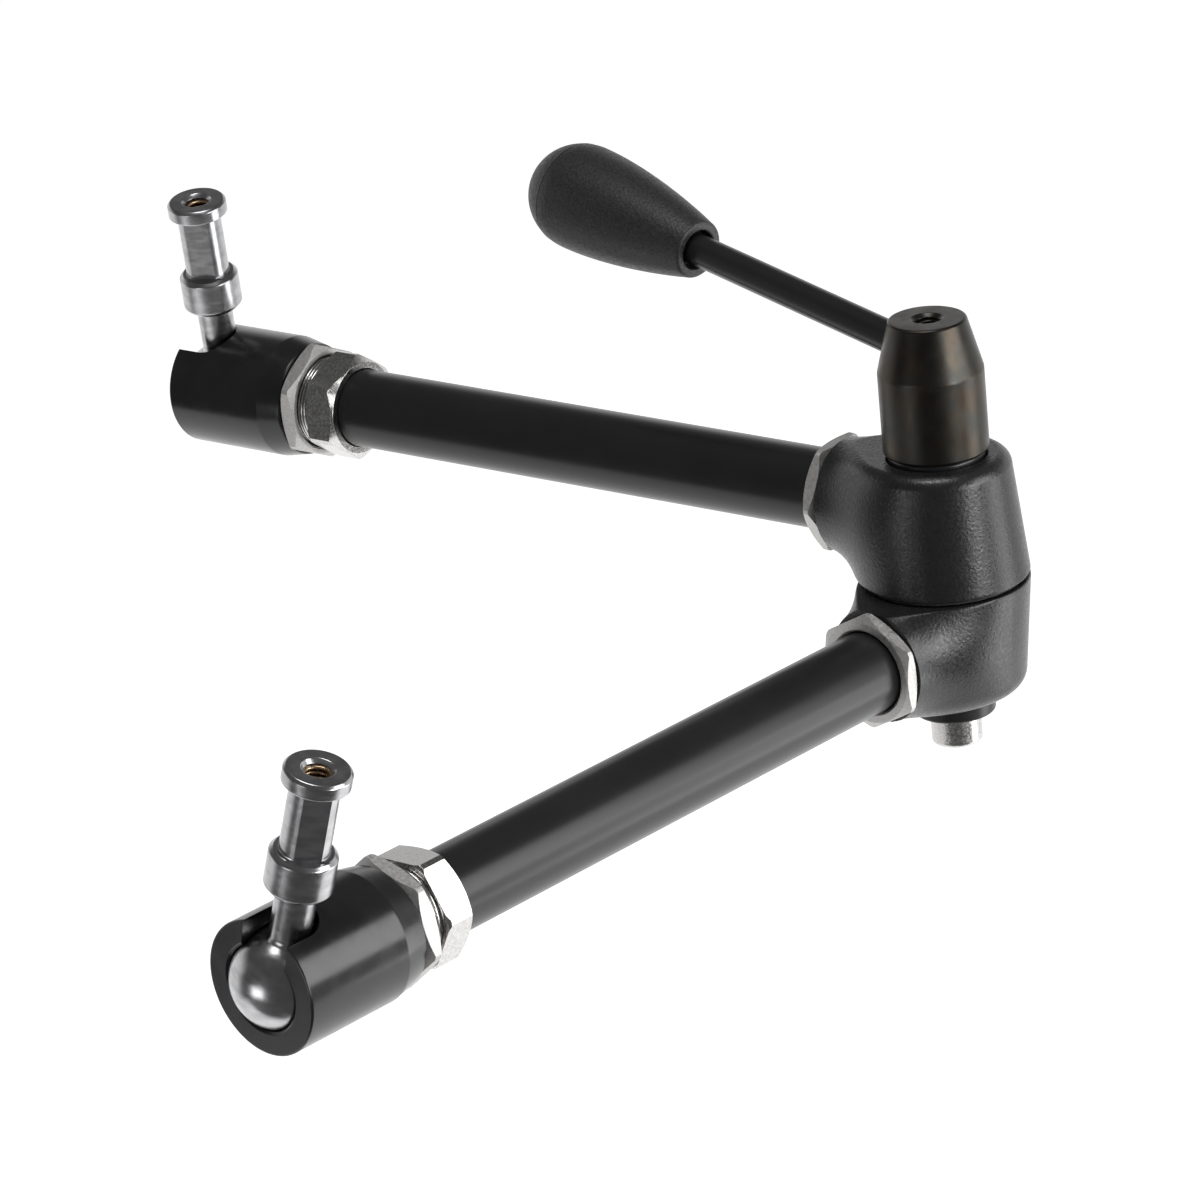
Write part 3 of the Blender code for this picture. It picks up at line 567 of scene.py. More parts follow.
def thread(name, place, start, length, radius, pitch, material):
    """A thread ridge on its frame's Z axis, made by the thread tree."""
    piece = bpy.data.objects.new(name, bpy.data.meshes.new(name))
    bpy.context.scene.collection.objects.link(piece)
    modifier = piece.modifiers.new("thread", "NODES")
    modifier.node_group = thread_tree()
    values = {"Radius": radius, "Pitch": pitch, "Length": length, "Ridge": 0.5 * pitch,
              "Material": material}
    for item in modifier.node_group.interface.items_tree:
        if item.name in values and item.in_out == "INPUT":
            modifier[item.identifier] = values[item.name]
    settle(piece)
    piece.data.transform(place @ Matrix.Translation(UP * start))
    mesh = bmesh.new()
    mesh.from_mesh(piece.data)
    bmesh.ops.recalc_face_normals(mesh, faces=mesh.faces)
    mesh.to_mesh(piece.data)
    mesh.free()
    return piece


def tapped_thread(name, place, top, depth, material):
    """The thread ridge of a tapped hole with its mouth at top."""
    pitch = looks().tapped_pitch
    return thread(name, place, top - depth + 0.5 * pitch, depth - TAPPED_MOUTH_DEPTH - pitch,
                  THREAD_ROOT_RADIUS, pitch, material)


# Finishes

class Finish:
    """One procedural material on Object coordinates."""

    def __init__(self, name, colour, roughness=0.5, metallic=0.0, place=None):
        self.colour = colour
        self.material = bpy.data.materials.new(name)
        self.material.use_nodes = True
        self.tree = self.material.node_tree
        self.shader = self.tree.nodes["Principled BSDF"]
        self.shader.inputs["Base Color"].default_value = (*colour, 1.0)
        self.shader.inputs["Roughness"].default_value = roughness
        self.shader.inputs["Metallic"].default_value = metallic
        self.normal = None
        self.coordinates = self.tree.nodes.new("ShaderNodeTexCoord").outputs["Object"]
        if place:
            self.coordinates = self.mapped(place.translation, place.to_euler())

    def mapped(self, centre, turn, scale=(1.0, 1.0, 1.0)):
        """Coordinates in a piece's own frame, with the pattern stretched by scale."""
        mapping = add_node(self.tree, "ShaderNodeMapping", {
            "Vector": self.coordinates, "Location": centre, "Rotation": turn, "Scale": scale},
            vector_type="TEXTURE")
        return mapping.outputs["Vector"]

    def noise(self, feature, detail=3.0, roughness=0.5, stretch=None):
        """A noise whose features are about this size."""
        coordinates = self.coordinates
        if stretch:
            coordinates = self.mapped((0.0, 0.0, 0.0), (0.0, 0.0, 0.0), stretch)
        texture = add_node(self.tree, "ShaderNodeTexNoise", {
            "Vector": coordinates, "Scale": 1.0 / feature, "Detail": detail,
            "Roughness": roughness})
        return texture.outputs["Fac"]

    def rings(self, spacing):
        """Lathe rings across the piece's own Z axis."""
        texture = add_node(self.tree, "ShaderNodeTexWave", {
            "Vector": self.coordinates, "Scale": WAVE_REPEAT / spacing, "Distortion": 0.6,
            "Detail": 2.0, "Detail Scale": 1.5}, wave_type="BANDS", bands_direction="Z")
        return texture.outputs["Fac"]

    def ramp(self, value, stops):
        """Colours along a value, as (position, colour) stops."""
        ramp = self.tree.nodes.new("ShaderNodeValToRGB")
        elements = ramp.color_ramp.elements
        while len(elements) < len(stops):
            elements.new(0.5)
        for element, (position, colour) in zip(elements, stops):
            element.position = position
            element.color = (*colour, 1.0)
        self.tree.links.new(value, ramp.inputs["Fac"])
        return ramp.outputs["Color"]

    def vary_colour(self, value, low, high):
        """Let the colour wander between two shares of itself."""
        dark = tuple(channel * low for channel in self.colour)
        light = tuple(min(channel * high, 1.0) for channel in self.colour)
        stops = [(0.5 - NOISE_SPREAD, dark), (0.5 + NOISE_SPREAD, light)]
        self.tree.links.new(self.ramp(value, stops), self.shader.inputs["Base Color"])

    def vary_roughness(self, value, low, high, spread=NOISE_SPREAD):
        """Let the roughness wander between two values."""
        span = add_node(self.tree, "ShaderNodeMapRange", {
            "Value": value, "From Min": 0.5 - spread, "From Max": 0.5 + spread, "To Min": low,
            "To Max": high})
        self.tree.links.new(span.outputs["Result"], self.shader.inputs["Roughness"])

    def bump(self, value, depth, strength=1.0):
        """Raise the surface by a value, on top of the bumps it already has."""
        bump = add_node(self.tree, "ShaderNodeBump", {
            "Height": value, "Strength": strength, "Distance": depth})
        if self.normal:
            self.tree.links.new(self.normal, bump.inputs["Normal"])
        self.normal = bump.outputs["Normal"]
        self.tree.links.new(self.normal, self.shader.inputs["Normal"])


def powder_coat():
    """Fine-pebbled black powder coat of the castings."""
    finish = Finish("casting_powder_coat", looks().casting_colour)
    finish.bump(finish.noise(0.75 * MM, 2.0), 0.11 * MM, 0.8)
    finish.vary_colour(finish.noise(7.0 * MM), 0.9, 1.15)
    finish.vary_roughness(finish.noise(0.8 * MM, 2.0), 0.27, 0.37)
    return finish.material


def satin_black(name, colour, place, low, high):
    """Smooth satin black with a slight draw along the tube."""
    finish = Finish(name, colour, place=place)
    finish.shader.inputs["Specular IOR Level"].default_value = 0.4
    finish.bump(finish.noise(0.6 * MM, 2.0, stretch=(1.0, 1.0, 6.0)), 0.006 * MM, 0.4)
    finish.bump(finish.noise(0.2 * MM, 1.0), 0.004 * MM, 0.4)
    finish.vary_colour(finish.noise(16.0 * MM), 0.92, 1.1)
    finish.vary_roughness(finish.noise(6.0 * MM, 2.0, stretch=(1.0, 1.0, 4.0)), low, high, 0.25)
    return finish.material


def socket_black(place):
    """Smooth black enamel with a faint orange peel and turning marks."""
    finish = Finish("socket_enamel", looks().socket_colour, place=place)
    finish.bump(finish.rings(0.8 * MM), 0.002 * MM, 0.5)
    finish.bump(finish.noise(0.9 * MM, 2.0), 0.004 * MM, 0.5)
    finish.vary_colour(finish.noise(9.0 * MM), 0.9, 1.15)
    finish.vary_roughness(finish.noise(4.0 * MM, 2.0), 0.20, 0.24)
    return finish.material


def plated(name, place, low, high, speckle):
    """Nickel plate with fine scratches and dull speckles."""
    finish = Finish(name, looks().nickel_colour, metallic=1.0, place=place)
    finish.bump(finish.noise(0.8 * MM, 3.0), 0.02 * MM, speckle)
    finish.vary_colour(finish.noise(0.7 * MM, 4.0, 0.65), 0.8, 1.06)
    finish.vary_roughness(finish.noise(0.7 * MM, 5.0, 0.6), low, high)
    return finish.material


def turned_steel(name, place):
    """Turned spigot steel with lathe rings across its own axis."""
    finish = Finish(name, looks().steel_colour, metallic=1.0, place=place)
    finish.bump(finish.rings(0.9 * MM), 0.0012 * MM, 0.4)
    finish.bump(finish.noise(1.5 * MM, 2.0), 0.002 * MM, 0.3)
    finish.vary_colour(finish.noise(5.0 * MM, 2.0, stretch=(1.0, 1.0, 0.5)), 0.86, 1.08)
    finish.vary_roughness(finish.noise(3.0 * MM, 1.0, stretch=(1.0, 1.0, 0.3)), 0.22, 0.27)
    return finish.material


def blackened_steel():
    """Oil-blackened steel with faint brown and grey clouds."""
    colour = tuple(looks().hub_colour)
    finish = Finish("hub_blackened_steel", colour, metallic=1.0, place=ELBOW_FRAME)
    finish.bump(finish.noise(3.0 * MM, 2.0), 0.004 * MM, 0.4)
    brown = (colour[0] * 1.12, colour[1] * 0.98, colour[2] * 0.85)
    grey = (colour[0] * 0.88, colour[1] * 0.95, colour[2] * 1.0)
    clouds = finish.ramp(finish.noise(9.0 * MM, 4.0, 0.6), [(0.38, grey), (0.62, brown)])
    finish.tree.links.new(clouds, finish.shader.inputs["Base Color"])
    finish.vary_roughness(finish.noise(5.0 * MM, 2.0), 0.32, 0.40)
    return finish.material


def thread_metal():
    """Coppery metal of the threads in the tapped holes."""
    finish = Finish("tapped_thread_brass", (0.50, 0.36, 0.23), metallic=1.0)
    finish.bump(finish.noise(0.3 * MM, 3.0), 0.01 * MM, 0.4)
    finish.vary_colour(finish.noise(0.9 * MM, 4.0), 0.75, 1.15)
    finish.vary_roughness(finish.noise(0.6 * MM, 3.0), 0.25, 0.42)
    return finish.material


def grip_plastic():
    """Moulded plastic with a fine spark-eroded grain."""
    finish = Finish("grip_plastic", looks().grip_colour, place=ROD_FRAME)
    finish.bump(finish.noise(0.7 * MM, 2.0), 0.14 * MM, 0.9)
    finish.vary_colour(finish.noise(0.6 * MM, 2.0), 0.65, 1.45)
    finish.vary_roughness(finish.noise(0.9 * MM, 3.0), 0.42, 0.54)
    return finish.material


def plain_steel():
    """Drawn steel of the pieces inside."""
    finish = Finish("inner_steel", (0.42, 0.42, 0.43), metallic=1.0)
    finish.bump(finish.noise(0.3 * MM, 3.0), 0.01 * MM, 0.4)
    finish.vary_roughness(finish.noise(1.0 * MM, 3.0), 0.32, 0.46)
    return finish.material


def fibre():
    """Dark fibre of the friction washer."""
    finish = Finish("washer_fibre", (0.03, 0.027, 0.024), 0.8)
    finish.bump(finish.noise(0.2 * MM, 4.0), 0.02 * MM, 0.7)
    finish.vary_colour(finish.noise(0.5 * MM, 4.0), 0.7, 1.3)
    return finish.material


def floor_paper():
    """Plain pale backdrop paper that reads as white to the camera and in reflections."""
    finish = Finish("floor_paper", tuple(studio().floor_colour), 0.9)
    finish.bump(finish.noise(1.2 * MM, 3.0), 0.01 * MM, 0.3)
    tree = finish.tree
    path = tree.nodes.new("ShaderNodeLightPath").outputs
    seen = add_node(tree, "ShaderNodeMath", {0: path["Is Camera Ray"], 1: path["Is Glossy Ray"]},
                    operation="MAXIMUM")
    level = add_node(tree, "ShaderNodeMath", {0: seen.outputs[0], 1: FLOOR_GLOW},
                     operation="MULTIPLY")
    glow = add_node(tree, "ShaderNodeEmission", {"Strength": level.outputs[0]})
    both = add_node(tree, "ShaderNodeAddShader", {
        0: finish.shader.outputs["BSDF"], 1: glow.outputs["Emission"]})
    tree.links.new(both.outputs["Shader"], tree.nodes["Material Output"].inputs["Surface"])
    return finish.material


# Pieces

def casting_outline(height, rounding, boss_height):
    """Rings of the blended body and boss, found by halving steps from the axis out."""
    shoulder = height - rounding
    levels = [*SEAM_LEVELS, *np.linspace(SEAM_CHAMFER, shoulder, CASTING_WALL_LEVELS)[1:]]
    levels += [shoulder + rounding * math.sin(math.radians(ROUNDING_STEP * step))
               for step in range(1, int(90.0 / ROUNDING_STEP) + 1)]
    level = np.array(levels)[:, None]
    angle = (2.0 * math.pi * np.arange(CASTING_DIRECTIONS) / CASTING_DIRECTIONS)[None, :]
    sink = np.clip(SEAM_CHAMFER - level, 0.0, SEAM_CHAMFER)
    edge = SEAM_CHAMFER - np.sqrt(SEAM_CHAMFER ** 2 - sink ** 2)
    rise = np.clip(level - shoulder, 0.0, rounding)
    inset = edge + rounding - np.sqrt(rounding ** 2 - rise ** 2)
    limit = (BOSS_FACE + 4.0 * MM) / np.maximum(np.cos(angle), 0.1)
    outer = np.repeat(np.minimum(limit, 2.0 * SEAM_RADIUS), len(levels), axis=0)
    inner = np.full_like(outer, 0.2 * SEAM_RADIUS)

    def distance(reach):
        along = reach * np.cos(angle)
        body = reach - (SEAM_RADIUS - CASTING_DRAFT * level) + inset
        behind = np.minimum(along - BOSS_RADIUS, 0.0)
        boss = np.sqrt((reach * np.sin(angle)) ** 2 + (level - boss_height) ** 2 + behind ** 2)
        boss -= BOSS_RADIUS
        overlap = np.maximum(BOSS_BLEND - np.abs(body - boss), 0.0) / BOSS_BLEND
        return np.minimum(body, boss) - 0.25 * BOSS_BLEND * overlap ** 2

    inside = distance(outer) < 0.0
    for _ in range(HALVINGS):
        middle = 0.5 * (inner + outer)
        within = distance(middle) < 0.0
        inner = np.where(within, middle, inner)
        outer = np.where(within | inside, outer, middle)
    reach = np.where(inside, outer, inner)
    return levels, angle[0], reach


def casting(arm, seam, height, rounding, side, collar_radius, material):
    """One casting: blended body, then its bores and the flat face of its boss."""
    levels, angles, reach = casting_outline(height, rounding, abs(arm.height - seam))
    if arm is LOWER_ARM:
        quarter = CASTING_DIRECTIONS // 4
        reach[len(SEAM_LEVELS):, [quarter, 3 * quarter]] += PARTING_RIDGE
    upright = axes_at(ELBOW + UP * seam, UP, arm.along)
    mesh = bmesh.new()
    rings = []
    for level, row in zip(levels, reach):
        ring = []
        for angle, distance in zip(angles, row):
            ring.append(mesh.verts.new(upright @ polar(distance, angle, side * level)))
        rings.append(ring)
    for low, high in zip(rings, rings[1:]):
        skin(mesh, low, high, CASTING_DIRECTIONS)
    mesh.faces.new(rings[0])
    mesh.faces.new(rings[-1])
    body = link(arm.name + "_casting", mesh, material)

    floor = side * CASTING_FLOOR
    top = side * (height + OVERCUT)
    lip = collar_radius + GAP
    bore = [(0.0, -side * MM), (SPRING_PASSAGE, -side * MM), (SPRING_PASSAGE, floor),
            (lip, floor), (lip, side * (height - 0.5 * LIP_CHAMFER)),
            (lip + LIP_CHAMFER, side * (height + 0.5 * LIP_CHAMFER)), (lip + LIP_CHAMFER, top),
            (0.0, top)]
    beyond = 3.0 * SEAM_RADIUS
    seat = TUBE_SEAT - GAP
    face = [(0.0, 0.0), (ROD_BORE_RADIUS, 0.0), (ROD_BORE_RADIUS, seat), (TUBE_BORE, seat),
            (TUBE_BORE, BOSS_FACE), (beyond, BOSS_FACE), (beyond, beyond), (0.0, beyond)]
    carve(body, turned("bore", bore, upright), turned("face", face, arm.axis))
    place_piece(body, arm.body, "black_casting", arm.name + "_housing")


def hexagon_piece(name, profile, across_flats, place, material, edge):
    """A turned blank with six flats milled on it."""
    blank = turned(name, profile, place, material)
    corner = 0.5 * across_flats / math.cos(math.radians(30.0))
    stations = [station for _, station in profile]
    low, high = min(stations) - MM, max(stations) + MM
    bar = [(0.0, low), (corner, low), (corner, high), (0.0, high)]
    carve(blank, turned("bar", bar, place, sides=6), operation="INTERSECT")
    soften(blank, edge, HEXAGON_EDGES)
    return blank


def nut(node, arm, station, turn, flats, corners, thickness, bore, material):
    """A thin hexagon nut, its corners turned down at 30 degrees on both faces."""
    flat = 0.5 * flats
    land = flat - NUT_LAND
    drop = (corners - flat) * math.tan(NUT_CHAMFER) + 0.5 * NUT_LAND
    inside = bore + NUT_BORE_CHAMFER
    profile = [(inside, 0.0), (land, 0.0), (corners, drop), (corners, thickness - drop),
               (land, thickness), (inside, thickness), (bore, thickness - NUT_BORE_CHAMFER),
               (bore, NUT_BORE_CHAMFER)]
    piece = hexagon_piece(node + "_piece", profile, flats, arm.at(station, turn), material,
                          0.1 * MM)
    place_piece(piece, arm.body, "nickel", node)


def end_fitting(arm, material):
    """Hexagon and threaded shank of one end fitting."""
    flat = 0.5 * FITTING_FLATS
    drop = (FITTING_CORNERS - flat) * math.tan(FITTING_CHAMFER) + 0.3 * MM
    guide = CUP_RADIUS + GAP
    shoulder = FITTING_TUBE_DEPTH - FITTING_BACK
    ridge = 0.5 * looks().thread_pitch
    root = SHANK_RADIUS - ridge
    profile = [(TUBE_BORE, -FITTING_BACK), (flat - FITTING_LAND, -FITTING_BACK),
               (FITTING_CORNERS, drop - FITTING_BACK),
               (FITTING_CORNERS, -FITTING_HEX_FRONT - 0.6 * MM),
               (FITTING_CORNERS - 0.6 * MM, -FITTING_HEX_FRONT), (root, -FITTING_HEX_FRONT),
               (root, -SHANK_END), (guide, -SHANK_END), (guide, shoulder), (TUBE_BORE, shoulder)]
    piece = hexagon_piece(arm.name + "_end_fitting_piece", profile, FITTING_FLATS,
                          arm.at_ball(arm.fitting_turn), material, 0.12 * MM)
    place_piece(piece, arm.body, "nickel", arm.name + "_end_fitting")
    start = -FITTING_HEX_FRONT + ridge
    length = FITTING_HEX_FRONT - SHANK_END - 2.0 * ridge
    ridge_piece = thread(arm.name + "_shank_thread", arm.at_ball(), start, length, root,
                         looks().thread_pitch, material)
    place_piece(ridge_piece, arm.body, "nickel")


def ball_socket(arm, material):
    """A barrel with a rounded mouth and the slot for the spigot's neck."""
    seat = BALL_RADIUS + GAP
    lip = math.degrees(math.asin((SOCKET_MOUTH - 0.5 * MM) / seat))
    mouth = seat * math.cos(math.radians(lip))
    profile = rounded([
        (mouth + 0.1 * MM, SOCKET_MOUTH - 0.45 * MM, 0.0), (mouth + 0.5 * MM, SOCKET_MOUTH),
        (SOCKET_RADIUS, SOCKET_MOUTH, 0.55 * MM), (SOCKET_RADIUS, -SOCKET_TAPER, 0.3 * MM),
        (SOCKET_BACK_RADIUS, -SOCKET_BACK, 0.5 * MM), (SHANK_BORE, -SOCKET_BACK),
        (SHANK_BORE, -GAP, 0.0)])
    profile += arc(seat, 0.0, lip, 12)
    barrel = turned(arm.name + "_ball_socket_piece", profile, arm.at_ball(), material)
    half = 0.5 * SLOT_WIDTH
    outline = [(y, z - SLOT_END) for y, z in arc(half, 0.0, -180.0, 28)]
    outline += [(-half, 3.0 * SOCKET_MOUTH), (half, 3.0 * SOCKET_MOUTH)]
    slot = prism("slot", outline, 0.0, 2.0 * SOCKET_RADIUS, arm.at_ball(SLOT_ROLL))
    carve(barrel, slot)
    soften(barrel, 0.25 * MM, SLOT_EDGES)
    place_piece(barrel, arm.body, "black_socket", arm.name + "_ball_socket")


def ball_stud(arm, material, brass):
    """Ball, neck, collar, groove with two wrench flats and tapped flange."""
    neck_angle = math.degrees(math.acos(NECK_RADIUS / BALL_RADIUS))
    bottom = FLANGE_TOP - TAPPED_DEPTH
    profile = arc(BALL_RADIUS, -90.0, neck_angle - 4.0, 40)
    profile[0] = (0.0, -BALL_RADIUS)
    profile += rounded([
        (NECK_RADIUS + 0.35 * MM, BALL_RADIUS * math.sin(math.radians(neck_angle - 1.5)), 0.0),
        (NECK_RADIUS, BALL_RADIUS * math.sin(math.radians(neck_angle)) + 0.8 * MM, 0.6 * MM),
        (NECK_RADIUS, COLLAR_BOTTOM, 0.3 * MM),
        (SPIGOT_RADIUS - COLLAR_CHAMFER, COLLAR_BOTTOM, 0.15 * MM),
        (SPIGOT_RADIUS, COLLAR_BOTTOM + COLLAR_CHAMFER, 0.3 * MM),
        (SPIGOT_RADIUS, COLLAR_TOP - COLLAR_CHAMFER, 0.3 * MM),
        (SPIGOT_RADIUS - COLLAR_CHAMFER, COLLAR_TOP, 0.2 * MM),
        (GROOVE_RADIUS, COLLAR_TOP, 0.25 * MM), (GROOVE_RADIUS, FLANGE_BOTTOM, 0.3 * MM),
        (SPIGOT_RADIUS, FLANGE_BOTTOM, 0.3 * MM),
        (SPIGOT_RADIUS, FLANGE_TOP - FLANGE_CHAMFER, 0.2 * MM),
        (SPIGOT_RADIUS - FLANGE_CHAMFER, FLANGE_TOP, 0.2 * MM),
        (TAPPED_MOUTH_RADIUS, FLANGE_TOP, 0.15 * MM),
        (THREAD_ROOT_RADIUS, FLANGE_TOP - TAPPED_MOUTH_DEPTH, 0.1 * MM),
        (THREAD_ROOT_RADIUS, bottom), (0.0, bottom - TAPPED_CONE)])
    stud = turned(arm.name + "_spigot", profile, arm.spigot, material)
    near = 0.5 * WRENCH_FLATS
    low = COLLAR_TOP - FLATS_LEDGE
    high = FLANGE_BOTTOM - FLATS_MARGIN
    wide = 2.0 * SPIGOT_RADIUS
    outline = [(-wide, low), (wide, low), (wide, high), (-wide, high)]
    for turn in (0.0, math.pi):
        place = arm.spigot @ Matrix.Rotation(arm.flats_turn + turn, 4, "Z")
        carve(stud, prism("flat", outline, near, wide, place))
    body = "head_stud" if arm is UPPER_ARM else "clamp_stud"
    place_piece(stud, body, "turned_steel", arm.name + "_ball_stud")
    ridge = tapped_thread(arm.name + "_spigot_thread", arm.spigot, FLANGE_TOP, TAPPED_DEPTH, brass)
    place_piece(ridge, body, "turned_steel")


def tube(arm, material):
    """One tube with rounded ends, seated in its casting and its end fitting."""
    inner = TUBE_RADIUS - TUBE_WALL
    end = ARM_REACH - FITTING_BACK + FITTING_TUBE_DEPTH - GAP
    profile = rounded([(inner, TUBE_SEAT, 0.0), (TUBE_RADIUS, TUBE_SEAT, 0.4 * MM),
                       (TUBE_RADIUS, end, 0.4 * MM), (inner, end, 0.0)])
    piece = turned(arm.name + "_tube_piece", profile, arm.axis, material)
    place_piece(piece, arm.body, "black_tube", arm.name + "_tube")


def wedge(name, collar_radius, collar_end, rod_height, side, body, node, material):
    """A spreading cone and the collar that shows outside its casting."""
    bore = SPINDLE_RADIUS + GAP
    nose = rod_height - side * CONE_NOSE_LENGTH
    nose_radius = CONE_RADIUS_AT_ROD - CONE_SLOPE * CONE_NOSE_LENGTH
    shoulder = rod_height + side * (collar_radius - CONE_RADIUS_AT_ROD) / CONE_SLOPE
    profile = rounded([(bore, nose), (nose_radius, nose), (collar_radius, shoulder),
                       (collar_radius, collar_end, 0.7 * MM), (bore, collar_end, 0.0)])
    piece = turned(name, profile, ELBOW_FRAME, material)
    place_piece(piece, body, "blackened_steel", node)


def spindle(material):
    """The through spindle; its chamfered head shows below the elbow."""
    top = LOWER_COLLAR_END - GAP
    bottom = top - SPINDLE_HEAD_LENGTH
    end = HUB_BOTTOM + SPINDLE_THREAD_IN_HUB
    profile = rounded([(0.0, bottom), (SPINDLE_HEAD_RADIUS, bottom, 1.0 * MM),
                       (SPINDLE_HEAD_RADIUS, top), (SPINDLE_RADIUS, top),
                       (SPINDLE_RADIUS, end, 0.6 * MM), (0.0, end)])
    piece = turned("spindle_piece", profile, ELBOW_FRAME, material)
    place_piece(piece, "tie", "nickel", "spindle")


def lever_hub(material):
    """Cone-topped hub with its tapped top and the hole for the rod."""
    bore = SPINDLE_RADIUS + GAP
    bore_top = HUB_BOTTOM + SPINDLE_THREAD_IN_HUB + 1.3 * MM
    bottom = HUB_TOP - HUB_TAPPED_DEPTH
    root = THREAD_ROOT_RADIUS
    cone_start = HUB_TOP - HUB_CONE_HEIGHT
    profile = rounded([(0.0, bottom - TAPPED_CONE), (root, bottom),
                       (root, HUB_TOP - TAPPED_MOUTH_DEPTH, 0.1 * MM),
                       (TAPPED_MOUTH_RADIUS, HUB_TOP, 0.2 * MM),
                       (HUB_TOP_RADIUS, HUB_TOP, 0.7 * MM),
                       (HUB_RADIUS, cone_start, 0.5 * MM), (HUB_RADIUS, HUB_BOTTOM, 0.7 * MM),
                       (bore, HUB_BOTTOM), (bore, bore_top), (0.0, bore_top + 1.0 * MM)])
    hub = turned("lever_hub_piece", profile, ELBOW_FRAME, material)
    hole = LEVER_ROD_RADIUS + GAP
    start = LEVER_ROD_START - GAP
    drill = [(0.0, start), (hole, start), (hole, 3.0 * HUB_RADIUS), (0.0, 3.0 * HUB_RADIUS)]
    carve(hub, turned("drill", drill, ROD_FRAME))
    place_piece(hub, "lever", "blackened_steel", "lever_hub")
    ridge = tapped_thread("lever_hub_thread", ELBOW_FRAME, HUB_TOP, HUB_TAPPED_DEPTH, material)
    place_piece(ridge, "lever", "blackened_steel")


def lever_rod(material):
    end = GRIP_START + GRIP_BORE_DEPTH - GAP
    profile = rounded([(0.0, LEVER_ROD_START), (LEVER_ROD_RADIUS, LEVER_ROD_START),
                       (LEVER_ROD_RADIUS, end), (0.0, end)])
    piece = turned("lever_rod_piece", profile, ROD_FRAME, material)
    place_piece(piece, "lever", "black_tube", "lever_rod")


def lever_grip(material):
    """Egg-shaped grip with a rolled lip round the rod and a faint mould line."""
    hole = LEVER_ROD_RADIUS + GAP
    bore_end = GRIP_START + GRIP_BORE_DEPTH
    mouth_end = GRIP_START + GRIP_MOUTH_DEPTH
    profile = [(0.0, bore_end), (hole, bore_end), (hole, mouth_end), (GRIP_MOUTH_RADIUS, mouth_end)]
    lip = 0.6 * MM
    profile += arc(lip, 180.0, 270.0, 6, (GRIP_MOUTH_RADIUS + lip, GRIP_START + lip))
    base = GRIP_START + GRIP_BASE_ROUNDING
    profile += arc(GRIP_BASE_ROUNDING, -90.0, -20.0, 8,
                   (GRIP_BASE_RADIUS - GRIP_BASE_ROUNDING, base))
    flare_end = (GRIP_BASE_RADIUS + GRIP_FLARE * GRIP_FLARE_LENGTH, base + GRIP_FLARE_LENGTH)
    handles = [Vector(point) for point in (
        (GRIP_BASE_RADIUS, base), flare_end,
        (GRIP_RADIUS, GRIP_WIDEST - GRIP_SHOULDER_LENGTH), (GRIP_RADIUS, GRIP_WIDEST))]
    profile += [tuple(point) for point in interpolate_bezier(*handles, 48)]
    dome = GRIP_END - GRIP_WIDEST
    line_angle = math.asin((GRIP_MOULD_LINE - GRIP_WIDEST) / dome)
    angles = sorted([math.radians(2.5 * step) for step in range(1, 37)]
                    + [line_angle + math.radians(shift) for shift in GRIP_MOULD_EDGES])
    for angle in angles:
        raised = GRIP_MOULD_RIDGE if abs(angle - line_angle) < math.radians(0.5) else 0.0
        profile.append(((GRIP_RADIUS + raised) * math.cos(angle),
                        GRIP_WIDEST + (dome + raised) * math.sin(angle)))
    profile[-1] = (0.0, GRIP_END)
    piece = turned("lever_grip_piece", profile, ROD_FRAME, material)
    place_piece(piece, "lever", "black_plastic", "lever_grip")


# Operators

class ARM_OT_castings(Operator):
    """Build both castings of the elbow"""
    bl_idname = "arm.castings"
    bl_label = "Elbow castings"

    def execute(self, context):
        coat = powder_coat()
        casting(UPPER_ARM, 0.0, UPPER_CASTING_HEIGHT, UPPER_DECK_ROUNDING, 1,
                UPPER_COLLAR_RADIUS, coat)
        casting(LOWER_ARM, LOWER_SEAM, LOWER_CASTING_HEIGHT, LOWER_DECK_ROUNDING, -1,
                LOWER_COLLAR_RADIUS, coat)
        return {"FINISHED"}


class ARM_OT_arms(Operator):
    """Build the tubes, their nuts and end fittings"""
    bl_idname = "arm.arms"
    bl_label = "Tubes, nuts and fittings"

    def execute(self, context):
        for arm in ARMS:
            name = arm.name
            tube(arm, satin_black(name + "_tube_black", looks().tube_colour, arm.axis, 0.27, 0.30))
            dull = plated(name + "_locknut_nickel", arm.axis, 0.52, 0.66, 0.8)
            nut(name + "_tube_locknut", arm, BOSS_FACE + GAP, arm.locknut_turn,
                LOCKNUT_FLATS, LOCKNUT_CORNERS, LOCKNUT_THICKNESS, TUBE_BORE, dull)
            bright = plated(name + "_fitting_nickel", arm.axis, 0.16, 0.26, 0.15)
            nut(name + "_jam_nut", arm, ARM_REACH - JAM_NUT_FRONT - JAM_NUT_THICKNESS,
                arm.jam_nut_turn, JAM_NUT_FLATS, JAM_NUT_CORNERS, JAM_NUT_THICKNESS, SHANK_BORE,
                dull)
            end_fitting(arm, bright)
        return {"FINISHED"}


class ARM_OT_ball_joints(Operator):
    """Build the ball sockets and the spigots on their balls"""
    bl_idname = "arm.ball_joints"
    bl_label = "Sockets and spigots"

    def execute(self, context):
        brass = thread_metal()
        for arm in ARMS:
            ball_socket(arm, socket_black(arm.axis))
            ball_stud(arm, turned_steel(arm.name + "_spigot_steel", arm.spigot), brass)
        return {"FINISHED"}


